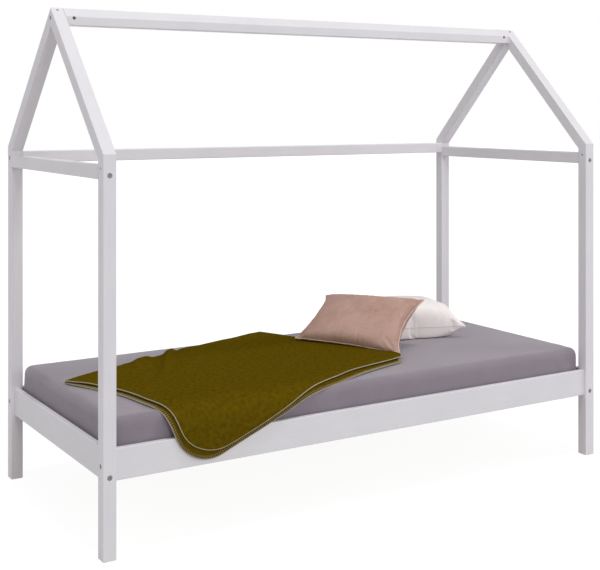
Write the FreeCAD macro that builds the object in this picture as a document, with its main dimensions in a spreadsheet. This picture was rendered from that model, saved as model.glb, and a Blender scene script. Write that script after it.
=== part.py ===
import FreeCAD, Part
import Sketcher
import math
import os
import re
from FreeCAD import Placement, Rotation, Vector

# House frame bed: four posts, two gables joined by a ridge beam and a back eave beam, a box of
# two rails and two end boards with slats in it, and the bedding that lies on the slats.
# X runs from the foot end to the head end, Y from the open front to the back, Z up. Millimetres.

doc = FreeCAD.newDocument("HouseFrameBed")

drivingSizes = {
    # mattress and the play round it
    "mattress_length": 2000,
    "mattress_width": 900,
    "mattress_thickness": 140,
    "mattress_corner": 40,
    "mattress_edge": 28,
    "sheet_thickness": 2,
    "sheet_turn_under": 90,
    "end_gap": 8,
    "side_gap": 4,
    # timber sections
    "post_side": 44,
    "post_height": 1228,
    "timber_round": 3,
    "foot_chamfer": 2,
    "board_thickness": 20,
    "board_height": 100,
    "board_base": 240,
    "beam_height": 44,
    "crossbar_drop": 16,
    "roof_pitch": 45,
    "ridge_width": 60,
    "ridge_side": 30,
    # slats and what carries them
    "ledger_width": 20,
    "ledger_height": 25,
    "ledger_lift": 2,
    "ledger_end_gap": 4,
    "slat_width": 70,
    "slat_thickness": 18,
    "slat_round": 2,
    "slat_side_gap": 2,
    "slat_end_margin": 55,
    # bolts and barrel nuts
    "bolt_diameter": 8,
    "bolt_hole": 9,
    "bolt_head": 15.5,
    "bolt_head_height": 3,
    "head_recess": 17,
    "head_recess_depth": 3.4,
    "bolt_socket": 5,
    "bolt_past_nut": 3,
    "nut_diameter": 12,
    "nut_length": 16,
    "nut_setback": 30,
    "rail_bolt_height": 49,
    "end_board_bolt_height": 16,
    "crossbar_bolt_height": 13,
    "eave_bolt_height": 19,
    "ridge_bolt_drop": 35,
    # dowels
    "dowel_diameter": 8,
    "dowel_length": 30,
    "dowel_end_play": 0.5,
    "board_dowel_height": 78,
    "crossbar_dowel_height": 32,
    "eave_dowel_height": 33,
    "ridge_dowel_drop": 42,
    "ridge_dowel_offset": 16,
    "rafter_dowel_offset": 11,
    # screws
    "apex_screw_length": 80,
    "apex_screw_diameter": 5,
    "apex_screw_head": 10,
    "apex_screw_setback": 12,
    "slat_screw_length": 35,
    "ledger_screw_length": 34,
    "small_screw_diameter": 4,
    "small_screw_head": 8,
    # fits
    "hole_play": 0.1,
    "seat_gap": 0.3,
    # folded throw
    "throw_thickness": 11,
    "throw_long_side": 1050,
    "throw_short_side": 750,
    "throw_turn": 20,
    "throw_far_corner_from_foot": 1050,
    "throw_far_corner_inset": 12,
    "throw_front_flare": 90,
    "throw_fall": 79,
    "throw_fold_height": 12,
    "throw_fold_width": 70,
    # square cushion, flat on the mattress
    "square_length": 416,
    "square_width": 390,
    "square_crown": 106,
    "square_underside": 46,
    "square_from_head": 422,
    "square_y": 182,
    "square_turn": -12,
    # long cushion, leaning on the square one
    "long_length": 474,
    "long_width": 284,
    "long_half_thickness": 46,
    "long_before_square": 292,
    "long_y": 66,
    "long_turn": -63,
    "long_lean": 36,
    "cushion_draw_in": 16,
    "cushion_corner": 14,
}

# counts
slatCount = 15
ledgerScrewBays = (0, 3, 5, 8, 10, 13)

# worked out from the sizes above
derivedSizes = {
    "board_inset": "(post_side - board_thickness) / 2",
    "bed_length": "mattress_length + 2 * (end_gap + board_thickness + board_inset)",
    "bed_width": "mattress_width + 2 * (side_gap + board_thickness + board_inset)",
    "post_x": "(bed_length - post_side) / 2",
    "post_y": "(bed_width - post_side) / 2",
    "bay_length": "bed_length - 2 * post_side",
    "bay_width": "bed_width - 2 * post_side",
    "rafter_plumb": "post_side / cos(roof_pitch)",
    "toe_height": "rafter_plumb - post_side * tan(roof_pitch)",
    "apex_height": "post_height + toe_height + bed_width / 2 * tan(roof_pitch)",
    "crossbar_base": "post_height - crossbar_drop - beam_height",
    "eave_base": "post_height - beam_height",
    "rail_bolt_z": "board_base + rail_bolt_height",
    "end_board_bolt_z": "board_base + end_board_bolt_height",
    "crossbar_bolt_z": "crossbar_base + crossbar_bolt_height",
    "eave_bolt_z": "eave_base + eave_bolt_height",
    "ridge_bolt_z": "apex_height - ridge_bolt_drop",
    "bolt_length": "post_side - head_recess_depth + nut_setback + nut_diameter / 2 + bolt_past_nut",
    "ledger_base": "board_base + ledger_lift",
    "slat_base": "ledger_base + ledger_height",
    "mattress_base": "slat_base + slat_thickness + seat_gap",
    "mattress_top": "mattress_base + mattress_thickness",
    "ledger_y": "bed_width / 2 - board_inset - board_thickness - ledger_width / 2",
    "slat_run": "bay_length - 2 * slat_end_margin - slat_width / 2",
    "throw_far_corner_x": "throw_far_corner_from_foot - mattress_length / 2",
    "square_x": "mattress_length / 2 - square_from_head",
    "long_x": "square_x - long_before_square",
}


def expand(text):
    """Write every named size in an expression out in terms of the sheet's cells."""
    def swap(match):
        word = match.group(0)
        if word in derivedSizes:
            return "(" + expand(derivedSizes[word]) + ")"
        return "Sizes." + word if word in drivingSizes else word
    return re.sub(r"[a-z][a-z0-9_]*", swap, text)


def makeSheet():
    sheet = doc.addObject("Spreadsheet::Sheet", "Sizes")
    for row, (alias, number) in enumerate(drivingSizes.items(), start=1):
        sheet.set("A%d" % row, alias)
        sheet.set("B%d" % row, str(number))
        sheet.setAlias("B%d" % row, alias)
    doc.recompute()
    return sheet


sheet = makeSheet()


def size(text):
    return float(sheet.evalExpression(expand(text)))


def bind(thing, **expressions):
    for name, text in expressions.items():
        thing.setExpression(name, expand(text))


def putAt(thing, position, rotation=None):
    """Bind a thing's position to the sheet, with a fixed rotation."""
    if rotation is not None:
        thing.Placement = Placement(Vector(0, 0, 0), rotation)
    for axis, text in zip("xyz", position):
        thing.setExpression("Placement.Base." + axis, expand(text))


axisTurns = {
    "X": Rotation(Vector(0, 1, 0), 90),
    "-X": Rotation(Vector(0, 1, 0), -90),
    "Y": Rotation(Vector(1, 0, 0), -90),
    "-Y": Rotation(Vector(1, 0, 0), 90),
    "Z": Rotation(),
    "-Z": Rotation(Vector(1, 0, 0), 180),
}


def block(name, lengths, centre):
    """A box by its three lengths and its centre."""
    box = doc.addObject("Part::Box", name)
    bind(box, Length=lengths[0], Width=lengths[1], Height=lengths[2])
    corner = ["(%s) - (%s) / 2" % (middle, length) for middle, length in zip(centre, lengths)]
    putAt(box, corner)
    return box


def rod(name, diameter, length, start, axis):
    """A cylinder that starts at a point and runs along an axis."""
    cylinder = doc.addObject("Part::Cylinder", name)
    bind(cylinder, Radius="(%s) / 2" % diameter, Height=length)
    putAt(cylinder, start, axisTurns[axis])
    return cylinder


def rounded(name, blank, radius, wanted):
    """Round the blank's edges that the test function picks."""
    blank.recompute()
    fillet = doc.addObject("Part::Fillet", name)
    fillet.Base = blank
    reach = size(radius)
    picked = [number for number, edge in enumerate(blank.Shape.Edges, start=1) if wanted(edge)]
    fillet.Edges = [(number, reach, reach) for number in picked]
    return fillet


def along(axis):
    """A test for straight edges that run along an axis."""
    def test(edge):
        run = edge.Vertexes[-1].Point.sub(edge.Vertexes[0].Point)
        return run.Length > 0 and abs(abs(run.dot(axis)) - run.Length) < 1e-6
    return test


def cutFrom(name, blank, tools):
    """The blank less its tools."""
    cut = doc.addObject("Part::Cut", name)
    cut.Base = blank
    if len(tools) == 1:
        cut.Tool = tools[0]
        return cut
    joined = doc.addObject("Part::MultiFuse", name + "_tools")
    joined.Shapes = tools
    cut.Tool = joined
    return cut


def fused(name, first, second):
    fusion = doc.addObject("Part::Fuse", name)
    fusion.Base = first
    fusion.Tool = second
    return fusion


def mirrored(source, normal):
    copy = doc.addObject("Part::Mirroring", source.Name + "_mirror")
    copy.Source = source
    copy.Normal = normal
    return copy


def finishMirrored(node, source, normal):
    """A sub-part that is another one's mirror image."""
    return finish(node, mirrored(finished[source], normal))


def inBothHalves(thing, normal):
    return [thing, mirrored(thing, normal)]


def inFourCorners(thing):
    front = inBothHalves(thing, Vector(1, 0, 0))
    return front + [mirrored(member, Vector(0, 1, 0)) for member in front]


finished = {}


def finish(node, thing):
    thing.Label = node
    finished[node] = thing
    return thing


def finishGroup(node, members):
    group = doc.addObject("Part::Compound", node + "_group")
    group.Links = members
    return finish(node, group)


# ---------------------------------------------------------------- fasteners

def bolt(name, seat, axis):
    """A flat-headed furniture bolt: the seat is the point under its head."""
    back = {"X": "-X", "Y": "-Y"}[axis]
    shank = rod(name + "_shank", "bolt_diameter", "bolt_length", seat, axis)
    head = rod(name + "_head", "bolt_head", "bolt_head_height", seat, back)
    socket = doc.addObject("Part::Prism", name + "_socket")
    socket.Polygon = 6
    bind(socket, Circumradius="bolt_socket / 2 / cos(30)", Height="bolt_head_height")
    putAt(socket, outward(seat, axis, "bolt_head_height / 4"), axisTurns[back])
    return cutFrom(name, fused(name + "_blank", shank, head), [socket])


def outward(point, axis, distance):
    """A point moved against an axis, towards the bolt's head."""
    moved = list(point)
    place = "XYZ".index(axis)
    moved[place] = "(%s) - (%s)" % (point[place], distance)
    return moved


def inward(point, axis, distance):
    moved = list(point)
    place = "XYZ".index(axis)
    moved[place] = "(%s) + (%s)" % (point[place], distance)
    return moved


def barrelNut(name, centre, axis, boltAxis):
    start = outward(centre, axis, "nut_length / 2")
    barrel = rod(name + "_barrel", "nut_diameter", "nut_length", start, axis)
    boreStart = outward(centre, boltAxis, "nut_diameter")
    bore = rod(name + "_bore", "bolt_diameter + 2 * hole_play", "2 * nut_diameter", boreStart, boltAxis)
    return cutFrom(name, barrel, [bore])


def dowel(name, middle, axis, grow="0"):
    """A dowel by its middle point, or the hole for one when it is grown."""
    length = "dowel_length + (%s)" % grow
    start = outward(middle, axis, "(%s) / 2" % length)
    diameter = "dowel_diameter + 2 * hole_play" if grow != "0" else "dowel_diameter"
    return rod(name, diameter, length, start, axis)


def dowelHole(name, middle, axis):
    return dowel(name, middle, axis, grow="2 * dowel_end_play")


def smallScrew(name, top, axis, length, grow="0"):
    """A countersunk screw whose head is level with the point at its top."""
    shank = rod(name + "_shank", "small_screw_diameter + 2 * (%s)" % grow, length, top, axis)
    head = doc.addObject("Part::Cone", name + "_head")
    bind(
        head,
        Radius1="small_screw_head / 2 + (%s)" % grow,
        Radius2="small_screw_diameter / 2 + (%s)" % grow,
        Height="(small_screw_head - small_screw_diameter) / 2",
    )
    putAt(head, top, axisTurns[axis])
    return fused(name, shank, head)


# where the joints of the near left corner lie; the other corners mirror it
cornerX = "-post_x"
cornerY = "-post_y"
bayEndX = "-bay_length / 2"
bayEndY = "-bay_width / 2"
railBoltSeat = ("-bed_length / 2 + head_recess_depth", cornerY, "rail_bolt_z")
endBoardBoltSeat = (cornerX, "-bed_width / 2 + head_recess_depth", "end_board_bolt_z")
crossbarBoltSeat = (cornerX, "-bed_width / 2 + head_recess_depth", "crossbar_bolt_z")
eaveBoltSeat = ("-bed_length / 2 + head_recess_depth", "post_y", "eave_bolt_z")
ridgeBoltSeat = ("-bed_length / 2 + head_recess_depth", "0", "ridge_bolt_z")
railDowelMiddle = (bayEndX, cornerY, "board_base + board_dowel_height")
endBoardDowelMiddle = (cornerX, bayEndY, "board_base + board_dowel_height")
crossbarDowelMiddle = (cornerX, bayEndY, "crossbar_base + crossbar_dowel_height")
eaveDowelMiddle = (bayEndX, "post_y", "eave_base + eave_dowel_height")
ridgeDowelMiddle = (bayEndX, "-ridge_dowel_offset", "apex_height - ridge_dowel_drop")
rafterDowelMiddle = (cornerX, "-post_y - rafter_dowel_offset", "post_height")
rafterDowelMiddleIn = (cornerX, "-post_y + rafter_dowel_offset", "post_height")


def makeBoltsAndNuts():
    alongX = Vector(1, 0, 0)
    finishGroup("rail_bolts", inFourCorners(bolt("rail_bolt", railBoltSeat, "X")))
    finishGroup("end_board_bolts", inFourCorners(bolt("end_board_bolt", endBoardBoltSeat, "Y")))
    finishGroup("crossbar_bolts", inFourCorners(bolt("crossbar_bolt", crossbarBoltSeat, "Y")))
    finishGroup("eave_beam_bolts", inBothHalves(bolt("eave_bolt", eaveBoltSeat, "X"), alongX))
    finishGroup("ridge_bolts", inBothHalves(bolt("ridge_bolt", ridgeBoltSeat, "X"), alongX))

    railNut = barrelNut("rail_nut", nutCentre("rail"), "Y", "X")
    endBoardNut = barrelNut("end_board_nut", nutCentre("end_board"), "X", "Y")
    crossbarNut = barrelNut("crossbar_nut", nutCentre("crossbar"), "Z", "Y")
    eaveNut = barrelNut("eave_nut", nutCentre("eave"), "Z", "X")
    ridgeNut = barrelNut("ridge_nut", nutCentre("ridge"), "Y", "X")
    finishGroup("rail_barrel_nuts", inFourCorners(railNut))
    finishGroup("end_board_barrel_nuts", inFourCorners(endBoardNut))
    finishGroup("crossbar_barrel_nuts", inFourCorners(crossbarNut))
    finishGroup("eave_beam_barrel_nuts", inBothHalves(eaveNut, alongX))
    finishGroup("ridge_barrel_nuts", inBothHalves(ridgeNut, alongX))


def nutCentre(joint):
    """The middle of the barrel nut in the near left end of a rail, board, bar or beam."""
    return {
        "rail": (bayEndX + " + nut_setback", cornerY, "rail_bolt_z"),
        "end_board": (cornerX, bayEndY + " + nut_setback", "end_board_bolt_z"),
        "crossbar": (cornerX, bayEndY + " + nut_setback", "crossbar_bolt_z"),
        "eave": (bayEndX + " + nut_setback", "post_y", "eave_bolt_z"),
        "ridge": (bayEndX + " + nut_setback", "0", "ridge_bolt_z"),
    }[joint]


def makeDowels():
    alongX = Vector(1, 0, 0)
    finishGroup("rail_dowels", inFourCorners(dowel("rail_dowel", railDowelMiddle, "X")))
    finishGroup("end_board_dowels", inFourCorners(dowel("end_board_dowel", endBoardDowelMiddle, "Y")))
    finishGroup("crossbar_dowels", inFourCorners(dowel("crossbar_dowel", crossbarDowelMiddle, "Y")))
    finishGroup("eave_beam_dowels", inBothHalves(dowel("eave_dowel", eaveDowelMiddle, "X"), alongX))
    finishGroup("ridge_dowels", inFourCorners(dowel("ridge_dowel", ridgeDowelMiddle, "X")))
    outer = dowel("rafter_dowel_outer", rafterDowelMiddle, "Z")
    inner = dowel("rafter_dowel_inner", rafterDowelMiddleIn, "Z")
    finishGroup("rafter_dowels", inFourCorners(outer) + inFourCorners(inner))


# ---------------------------------------------------------------- holes for the fasteners

def atSide(point, sign):
    """A point of the near left corner (sign 1), or the same point at the back (sign -1)."""
    return (point[0], "%d * (%s)" % (sign, point[1]), point[2])


def boltHole(name, seat, axis, sign, recessed=True):
    """A through hole from the outer face of a post, with a recess for the bolt's head."""
    direction = axis if sign > 0 else "-" + axis
    place = "XY".index(axis)
    face = list(seat)
    back = "head_recess_depth" if sign > 0 else "-head_recess_depth"
    face[place] = "(%s) - (%s)" % (seat[place], back)
    hole = rod(name, "bolt_hole", "post_side", face, direction)
    if not recessed:
        return [hole]
    return [hole, rod(name + "_recess", "head_recess", "head_recess_depth", face, direction)]


def makePost(node, sign):
    """A left-hand post; sign is 1 at the front and -1 at the back."""
    name = node + "_"
    centre = atSide((cornerX, cornerY, "post_height / 2"), sign)
    blank = block(name + "blank", ("post_side", "post_side", "post_height"), centre)
    soft = rounded(name + "rounded", blank, "timber_round", along(Vector(0, 0, 1)))
    soft.recompute()
    foot = doc.addObject("Part::Chamfer", name + "foot")
    foot.Base = soft
    bevel = size("foot_chamfer")
    low = [i for i, edge in enumerate(soft.Shape.Edges, start=1) if edge.BoundBox.ZMax < bevel / 2]
    foot.Edges = [(i, bevel, bevel) for i in low]

    holes = []
    for tag, seat, axis in (
        ("rail", railBoltSeat, "X"),
        ("board", endBoardBoltSeat, "Y"),
        ("crossbar", crossbarBoltSeat, "Y"),
    ):
        holes += boltHole(name + tag + "_hole", atSide(seat, sign), axis, 1 if axis == "X" else sign)
    eaveSeat = atSide((eaveBoltSeat[0], cornerY, eaveBoltSeat[2]), sign)
    holes += boltHole(name + "eave_hole", eaveSeat, "X", 1, recessed=sign < 0)
    for tag, middle, axis in (
        ("rail", railDowelMiddle, "X"),
        ("board", endBoardDowelMiddle, "Y"),
        ("crossbar", crossbarDowelMiddle, "Y"),
        ("rafter_outer", rafterDowelMiddle, "Z"),
        ("rafter_inner", rafterDowelMiddleIn, "Z"),
    ):
        holes.append(dowelHole(name + tag + "_dowel_hole", atSide(middle, sign), axis))
    if sign < 0:
        holes.append(dowelHole(name + "eave_dowel_hole", eaveDowelMiddle, "X"))
    finish(node, cutFrom(name + "drilled", foot, holes))


def nutPocket(name, centre, axis, depthToFace):
    """A blind hole for a barrel nut, drilled along an axis from the face behind the nut."""
    start = list(centre)
    place = "XYZ".index(axis[-1])
    step = "-1" if not axis.startswith("-") else "1"
    start[place] = "(%s) + %s * (%s)" % (centre[place], step, depthToFace)
    depth = "(%s) + nut_length / 2 + seat_gap" % depthToFace
    return rod(name, "nut_diameter + 2 * hole_play", depth, start, axis)


def endBore(name, centre, boltAxis):
    """The bolt's hole in the end grain, from the near left end to past the nut."""
    start = outward(centre, boltAxis, "nut_setback")
    return rod(name, "bolt_hole", "nut_setback + nut_diameter / 2 + bolt_past_nut + 2", start, boltAxis)


def bothEnds(tools, normal):
    return tools + [mirrored(tool, normal) for tool in tools]


def makeFrontRail(node):
    name = node + "_"
    centre = ("0", cornerY, "board_base + board_height / 2")
    blank = block(name + "blank", ("bay_length", "board_thickness", "board_height"), centre)
    soft = rounded(name + "rounded", blank, "timber_round", along(Vector(1, 0, 0)))
    tools = [
        nutPocket(name + "nut_pocket", nutCentre("rail"), "-Y", "board_thickness / 2"),
        endBore(name + "end_bore", nutCentre("rail"), "X"),
        dowelHole(name + "dowel_hole", railDowelMiddle, "X"),
    ]
    tools = bothEnds(tools, Vector(1, 0, 0))
    screws = ledgerScrews(name + "screw_hole", "hole_play")
    finish(node, cutFrom(name + "drilled", soft, tools + screws))


def makeFootBoard(node):
    name = node + "_"
    centre = (cornerX, "0", "board_base + board_height / 2")
    blank = block(name + "blank", ("board_thickness", "bay_width", "board_height"), centre)
    soft = rounded(name + "rounded", blank, "timber_round", along(Vector(0, 1, 0)))
    tools = [
        nutPocket(name + "nut_pocket", nutCentre("end_board"), "-X", "board_thickness / 2"),
        endBore(name + "end_bore", nutCentre("end_board"), "Y"),
        dowelHole(name + "dowel_hole", endBoardDowelMiddle, "Y"),
    ]
    finish(node, cutFrom(name + "drilled", soft, bothEnds(tools, Vector(0, 1, 0))))


def makeCrossbar(node):
    """The bar across the left gable, flush with both faces of its posts."""
    name = node + "_"
    centre = (cornerX, "0", "crossbar_base + beam_height / 2")
    blank = block(name + "blank", ("post_side", "bay_width", "beam_height"), centre)
    soft = rounded(name + "rounded", blank, "timber_round", along(Vector(0, 1, 0)))
    tools = [
        nutPocket(name + "nut_pocket", nutCentre("crossbar"), "Z", "crossbar_bolt_height"),
        endBore(name + "end_bore", nutCentre("crossbar"), "Y"),
        dowelHole(name + "dowel_hole", crossbarDowelMiddle, "Y"),
    ]
    finish(node, cutFrom(name + "drilled", soft, bothEnds(tools, Vector(0, 1, 0))))


def makeEaveBeam():
    """The long beam between the tops of the two back posts."""
    name = "eave_beam_"
    centre = ("0", "post_y", "eave_base + beam_height / 2")
    blank = block(name + "blank", ("bay_length", "post_side", "beam_height"), centre)
    soft = rounded(name + "rounded", blank, "timber_round", along(Vector(1, 0, 0)))
    tools = [
        nutPocket(name + "nut_pocket", nutCentre("eave"), "Z", "eave_bolt_height"),
        endBore(name + "end_bore", nutCentre("eave"), "X"),
        dowelHole(name + "dowel_hole", eaveDowelMiddle, "X"),
    ]
    finish("eave_beam_back", cutFrom(name + "drilled", soft, bothEnds(tools, Vector(1, 0, 0))))


# ---------------------------------------------------------------- sketched timbers

def originPlane(body, role):
    return next(plane for plane in body.Origin.OriginFeatures if plane.Role == role)


def paddedOutline(name, corners, length):
    """A body padded along X from an outline in the YZ plane, given as (y, z) expressions."""
    body = doc.addObject("PartDesign::Body", name)
    sketch = body.newObject("Sketcher::SketchObject", name + "_outline")
    sketch.AttachmentSupport = (originPlane(body, "YZ_Plane"), [""])
    sketch.MapMode = "FlatFace"
    points = [Vector(size(y), size(z), 0) for y, z in corners]
    count = len(points)
    for number, point in enumerate(points):
        sketch.addGeometry(Part.LineSegment(point, points[(number + 1) % count]), False)
    for number in range(count):
        sketch.addConstraint(Sketcher.Constraint("Coincident", number, 2, (number + 1) % count, 1))
    for number, (y, z) in enumerate(corners):
        for kind, text, now in (("DistanceX", y, points[number].x), ("DistanceY", z, points[number].y)):
            index = sketch.addConstraint(Sketcher.Constraint(kind, -1, 1, number, 1, now))
            sketch.setExpression("Constraints[%d]" % index, expand(text))
    pad = body.newObject("PartDesign::Pad", name + "_pad")
    pad.Profile = sketch
    bind(pad, Length=length)
    pad.Midplane = True
    return body


def apexScrew(name, grow="0"):
    """A countersunk screw square into the front rafter, on into the end of the back one."""
    shank = doc.addObject("Part::Cylinder", name + "_shank")
    bind(shank, Radius="apex_screw_diameter / 2 + (%s)" % grow, Height="apex_screw_length + (%s)" % grow)
    head = doc.addObject("Part::Cone", name + "_head")
    bind(
        head,
        Radius1="apex_screw_head / 2 + (%s)" % grow,
        Radius2="apex_screw_diameter / 2 + (%s)" % grow,
        Height="(apex_screw_head - apex_screw_diameter) / 2",
    )
    top = (
        cornerX,
        "-apex_screw_setback * cos(roof_pitch)",
        "apex_height - apex_screw_setback * sin(roof_pitch)",
    )
    for piece in (shank, head):
        piece.Placement = Placement(Vector(), Rotation(Vector(1, 0, 0), -180))
        piece.setExpression("Placement.Rotation.Angle", expand("roof_pitch - 180"))
        putAt(piece, top)
    return fused(name, shank, head)


def makeRafter(node, sign):
    """A left-hand rafter, front (1) or back (-1): level cut on the post, plumb toe, plumb mitre."""
    name = node + "_"
    half = "bed_width / 2"
    corners = [
        (half, "post_height"),
        (half, "post_height + toe_height"),
        ("0", "apex_height"),
        ("0", "apex_height - rafter_plumb"),
        (half + " - post_side", "post_height"),
    ]
    corners = [("%d * (%s)" % (-sign, y), z) for y, z in corners]
    body = paddedOutline(name + "body", corners, "post_side")
    putAt(body, (cornerX, "0", "0"))
    doc.recompute()
    face = size("post_side") / 2
    post = size("post_height")

    def longEdge(edge):
        box = edge.BoundBox
        onFace = box.XLength < 1e-6
        level = box.ZLength < 1e-6
        mitre = box.YLength < 1e-6 and box.ZMin > post + face
        return onFace and not level and not mitre

    soft = rounded(name + "rounded", body, "timber_round", longEdge)
    holes = boltHole(name + "ridge_hole", ridgeBoltSeat, "X", 1)
    for tag, middle, axis in (
        ("ridge", ridgeDowelMiddle, "X"),
        ("outer", rafterDowelMiddle, "Z"),
        ("inner", rafterDowelMiddleIn, "Z"),
    ):
        holes.append(dowelHole(name + tag + "_dowel_hole", atSide(middle, sign), axis))
    holes.append(apexScrew(name + "screw_hole", "hole_play"))
    finish(node, cutFrom(name + "drilled", soft, holes))


def makeRidgeBeam():
    """The ridge beam: square below, its two upper faces in line with the rafters' upper faces."""
    name = "ridge_"
    rise = "ridge_width / 2 * tan(roof_pitch)"
    shoulder = "apex_height - %s" % rise
    corners = [
        ("-ridge_width / 2", shoulder + " - ridge_side"),
        ("ridge_width / 2", shoulder + " - ridge_side"),
        ("ridge_width / 2", shoulder),
        ("0", "apex_height"),
        ("-ridge_width / 2", shoulder),
    ]
    body = paddedOutline(name + "body", corners, "bay_length")
    doc.recompute()
    soft = rounded(name + "rounded", body, "slat_round", along(Vector(1, 0, 0)))
    centre = nutCentre("ridge")
    tools = [
        nutPocket(name + "nut_pocket", centre, "Y", "ridge_width / 2"),
        endBore(name + "end_bore", centre, "X"),
        dowelHole(name + "dowel_hole_front", ridgeDowelMiddle, "X"),
        dowelHole(name + "dowel_hole_back", atSide(ridgeDowelMiddle, -1), "X"),
    ]
    finish("ridge_beam", cutFrom(name + "drilled", soft, bothEnds(tools, Vector(1, 0, 0))))


def makeApexScrews():
    finishGroup("apex_screws", inBothHalves(apexScrew("apex_screw"), Vector(1, 0, 0)))


# ---------------------------------------------------------------- slats

def slatX(number):
    return "slat_run * (%s / %d - 0.5)" % (number, slatCount - 1)


def slatScrew(name, number, sign, grow="0"):
    """The screw at a slat's front (1) or back (-1) end."""
    top = (slatX(number), "%d * (-ledger_y)" % sign, "slat_base + slat_thickness")
    return smallScrew(name, top, "-Z", "slat_screw_length", grow)


def ledgerScrews(name, grow="0"):
    """The screws from the front ledger into its rail, midway between slats."""
    screws = []
    for bay in ledgerScrewBays:
        top = (slatX(bay + 0.5), "-ledger_y + ledger_width / 2", "ledger_base + ledger_height / 2")
        screws.append(smallScrew("%s_%d" % (name, bay), top, "-Y", "ledger_screw_length", grow))
    return screws


def makeFrontLedger(node):
    name = node + "_"
    centre = ("0", "-ledger_y", "ledger_base + ledger_height / 2")
    lengths = ("bay_length - 2 * ledger_end_gap", "ledger_width", "ledger_height")
    blank = block(name + "blank", lengths, centre)
    tools = ledgerScrews(name + "screw_hole", "hole_play")
    for number in range(slatCount):
        tools.append(slatScrew("%sslat_screw_hole_%d" % (name, number), number, 1, "hole_play"))
    finish(node, cutFrom(name + "drilled", blank, tools))


def makeSlat(number):
    node = "slat_%02d" % (number + 1)
    name = node + "_"
    centre = (slatX(number), "0", "slat_base + slat_thickness / 2")
    length = "bed_width - 2 * (board_inset + board_thickness + slat_side_gap)"
    blank = block(name + "blank", ("slat_width", length, "slat_thickness"), centre)
    soft = rounded(name + "rounded", blank, "slat_round", along(Vector(0, 1, 0)))
    holes = [slatScrew("%shole_%d" % (name, sign + 1), number, sign, "hole_play") for sign in (1, -1)]
    finish(node, cutFrom(name + "drilled", soft, holes))


def makeSlatBase():
    makeFrontLedger("ledger_front")
    finishMirrored("ledger_back", "ledger_front", Vector(0, 1, 0))
    for number in range(slatCount):
        makeSlat(number)
    front = [slatScrew("slat_screw_%d" % number, number, 1) for number in range(slatCount)]
    row = doc.addObject("Part::Compound", "slat_screw_row")
    row.Links = front
    finishGroup("slat_screws", inBothHalves(row, Vector(0, 1, 0)))
    ledgerRow = doc.addObject("Part::Compound", "ledger_screw_row")
    ledgerRow.Links = ledgerScrews("ledger_screw")
    finishGroup("ledger_screws", inBothHalves(ledgerRow, Vector(0, 1, 0)))


# ---------------------------------------------------------------- mattress

def mattressBlock(name, inset):
    """The mattress with rounded corners and edges, drawn in by an inset on every side."""
    lengths = ["%s - 2 * (%s)" % (text, inset) for text in (
        "mattress_length", "mattress_width", "mattress_thickness")]
    blank = block(name + "_blank", lengths, ("0", "0", "mattress_base + mattress_thickness / 2"))
    corners = rounded(name + "_corners", blank, "mattress_corner - (%s)" % inset, along(Vector(0, 0, 1)))

    def level(edge):
        return edge.BoundBox.ZLength < 1e-6

    return rounded(name + "_edges", corners, "mattress_edge - (%s)" % inset, level)


def makeMattress():
    core = mattressBlock("core", "sheet_thickness + seat_gap")
    finish("mattress_core", core)
    cover = mattressBlock("cover", "0")
    room = mattressBlock("room", "sheet_thickness")
    opening = block(
        "sheet_opening",
        ("mattress_length - 2 * sheet_turn_under", "mattress_width - 2 * sheet_turn_under", "mattress_edge"),
        ("0", "0", "mattress_base"),
    )
    finish("fitted_sheet", cutFrom("fitted_sheet_shell", cover, [room, opening]))


# ---------------------------------------------------------------- throw

def arcThrough(first, middle, last):
    return Part.Arc(first, middle, last).toShape()


def pointOn(centre, radius, degrees):
    turn = math.radians(degrees)
    return Vector(0, centre.y + radius * math.cos(turn), centre.z + radius * math.sin(turn))


def drapeCurve(lift, plan):
    """The cloth's path over mattress edge and rail, at a height above what it lies on."""
    mattress = plan["mattressCentre"]
    rail = plan["railCentre"]
    large = plan["mattressRadius"] + lift
    small = plan["railRadius"] + lift
    leave = plan["leaveAngle"]
    topBack = Vector(0, plan["backY"], mattress.z + large)
    topFront = pointOn(mattress, large, 90)
    slopeTop = pointOn(mattress, large, leave)
    slopeFoot = pointOn(rail, small, leave)
    fallTop = pointOn(rail, small, 180)
    fallFoot = Vector(0, fallTop.y, plan["footZ"])
    return [
        Part.LineSegment(topBack, topFront).toShape(),
        arcThrough(topFront, pointOn(mattress, large, (90 + leave) / 2), slopeTop),
        Part.LineSegment(slopeTop, slopeFoot).toShape(),
        arcThrough(slopeFoot, pointOn(rail, small, (leave + 180) / 2), fallTop),
        Part.LineSegment(fallTop, fallFoot).toShape(),
    ]


def drapePlan():
    """The two rounded edges that the cloth bends over, and where it leaves the first."""
    edge = size("mattress_edge")
    roundness = size("timber_round")
    gap = size("seat_gap")
    mattress = Vector(0, -size("mattress_width") / 2 + edge, size("mattress_top") - edge)
    railFace = -size("bed_width") / 2 + size("board_inset")
    rail = Vector(0, railFace + roundness, size("board_base + board_height") - roundness)
    between = rail.sub(mattress)
    slope = math.degrees(math.atan2(between.z, between.y))
    tuck = math.degrees(math.acos((edge - roundness) / between.Length))
    return {
        "mattressCentre": mattress,
        "mattressRadius": edge + gap,
        "railCentre": rail,
        "railRadius": roundness + gap,
        "leaveAngle": slope % 360 - tuck,
        "backY": size("mattress_width") / 2,
        "footZ": size("board_base + board_height - throw_fall") - size("throw_thickness"),
    }


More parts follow.
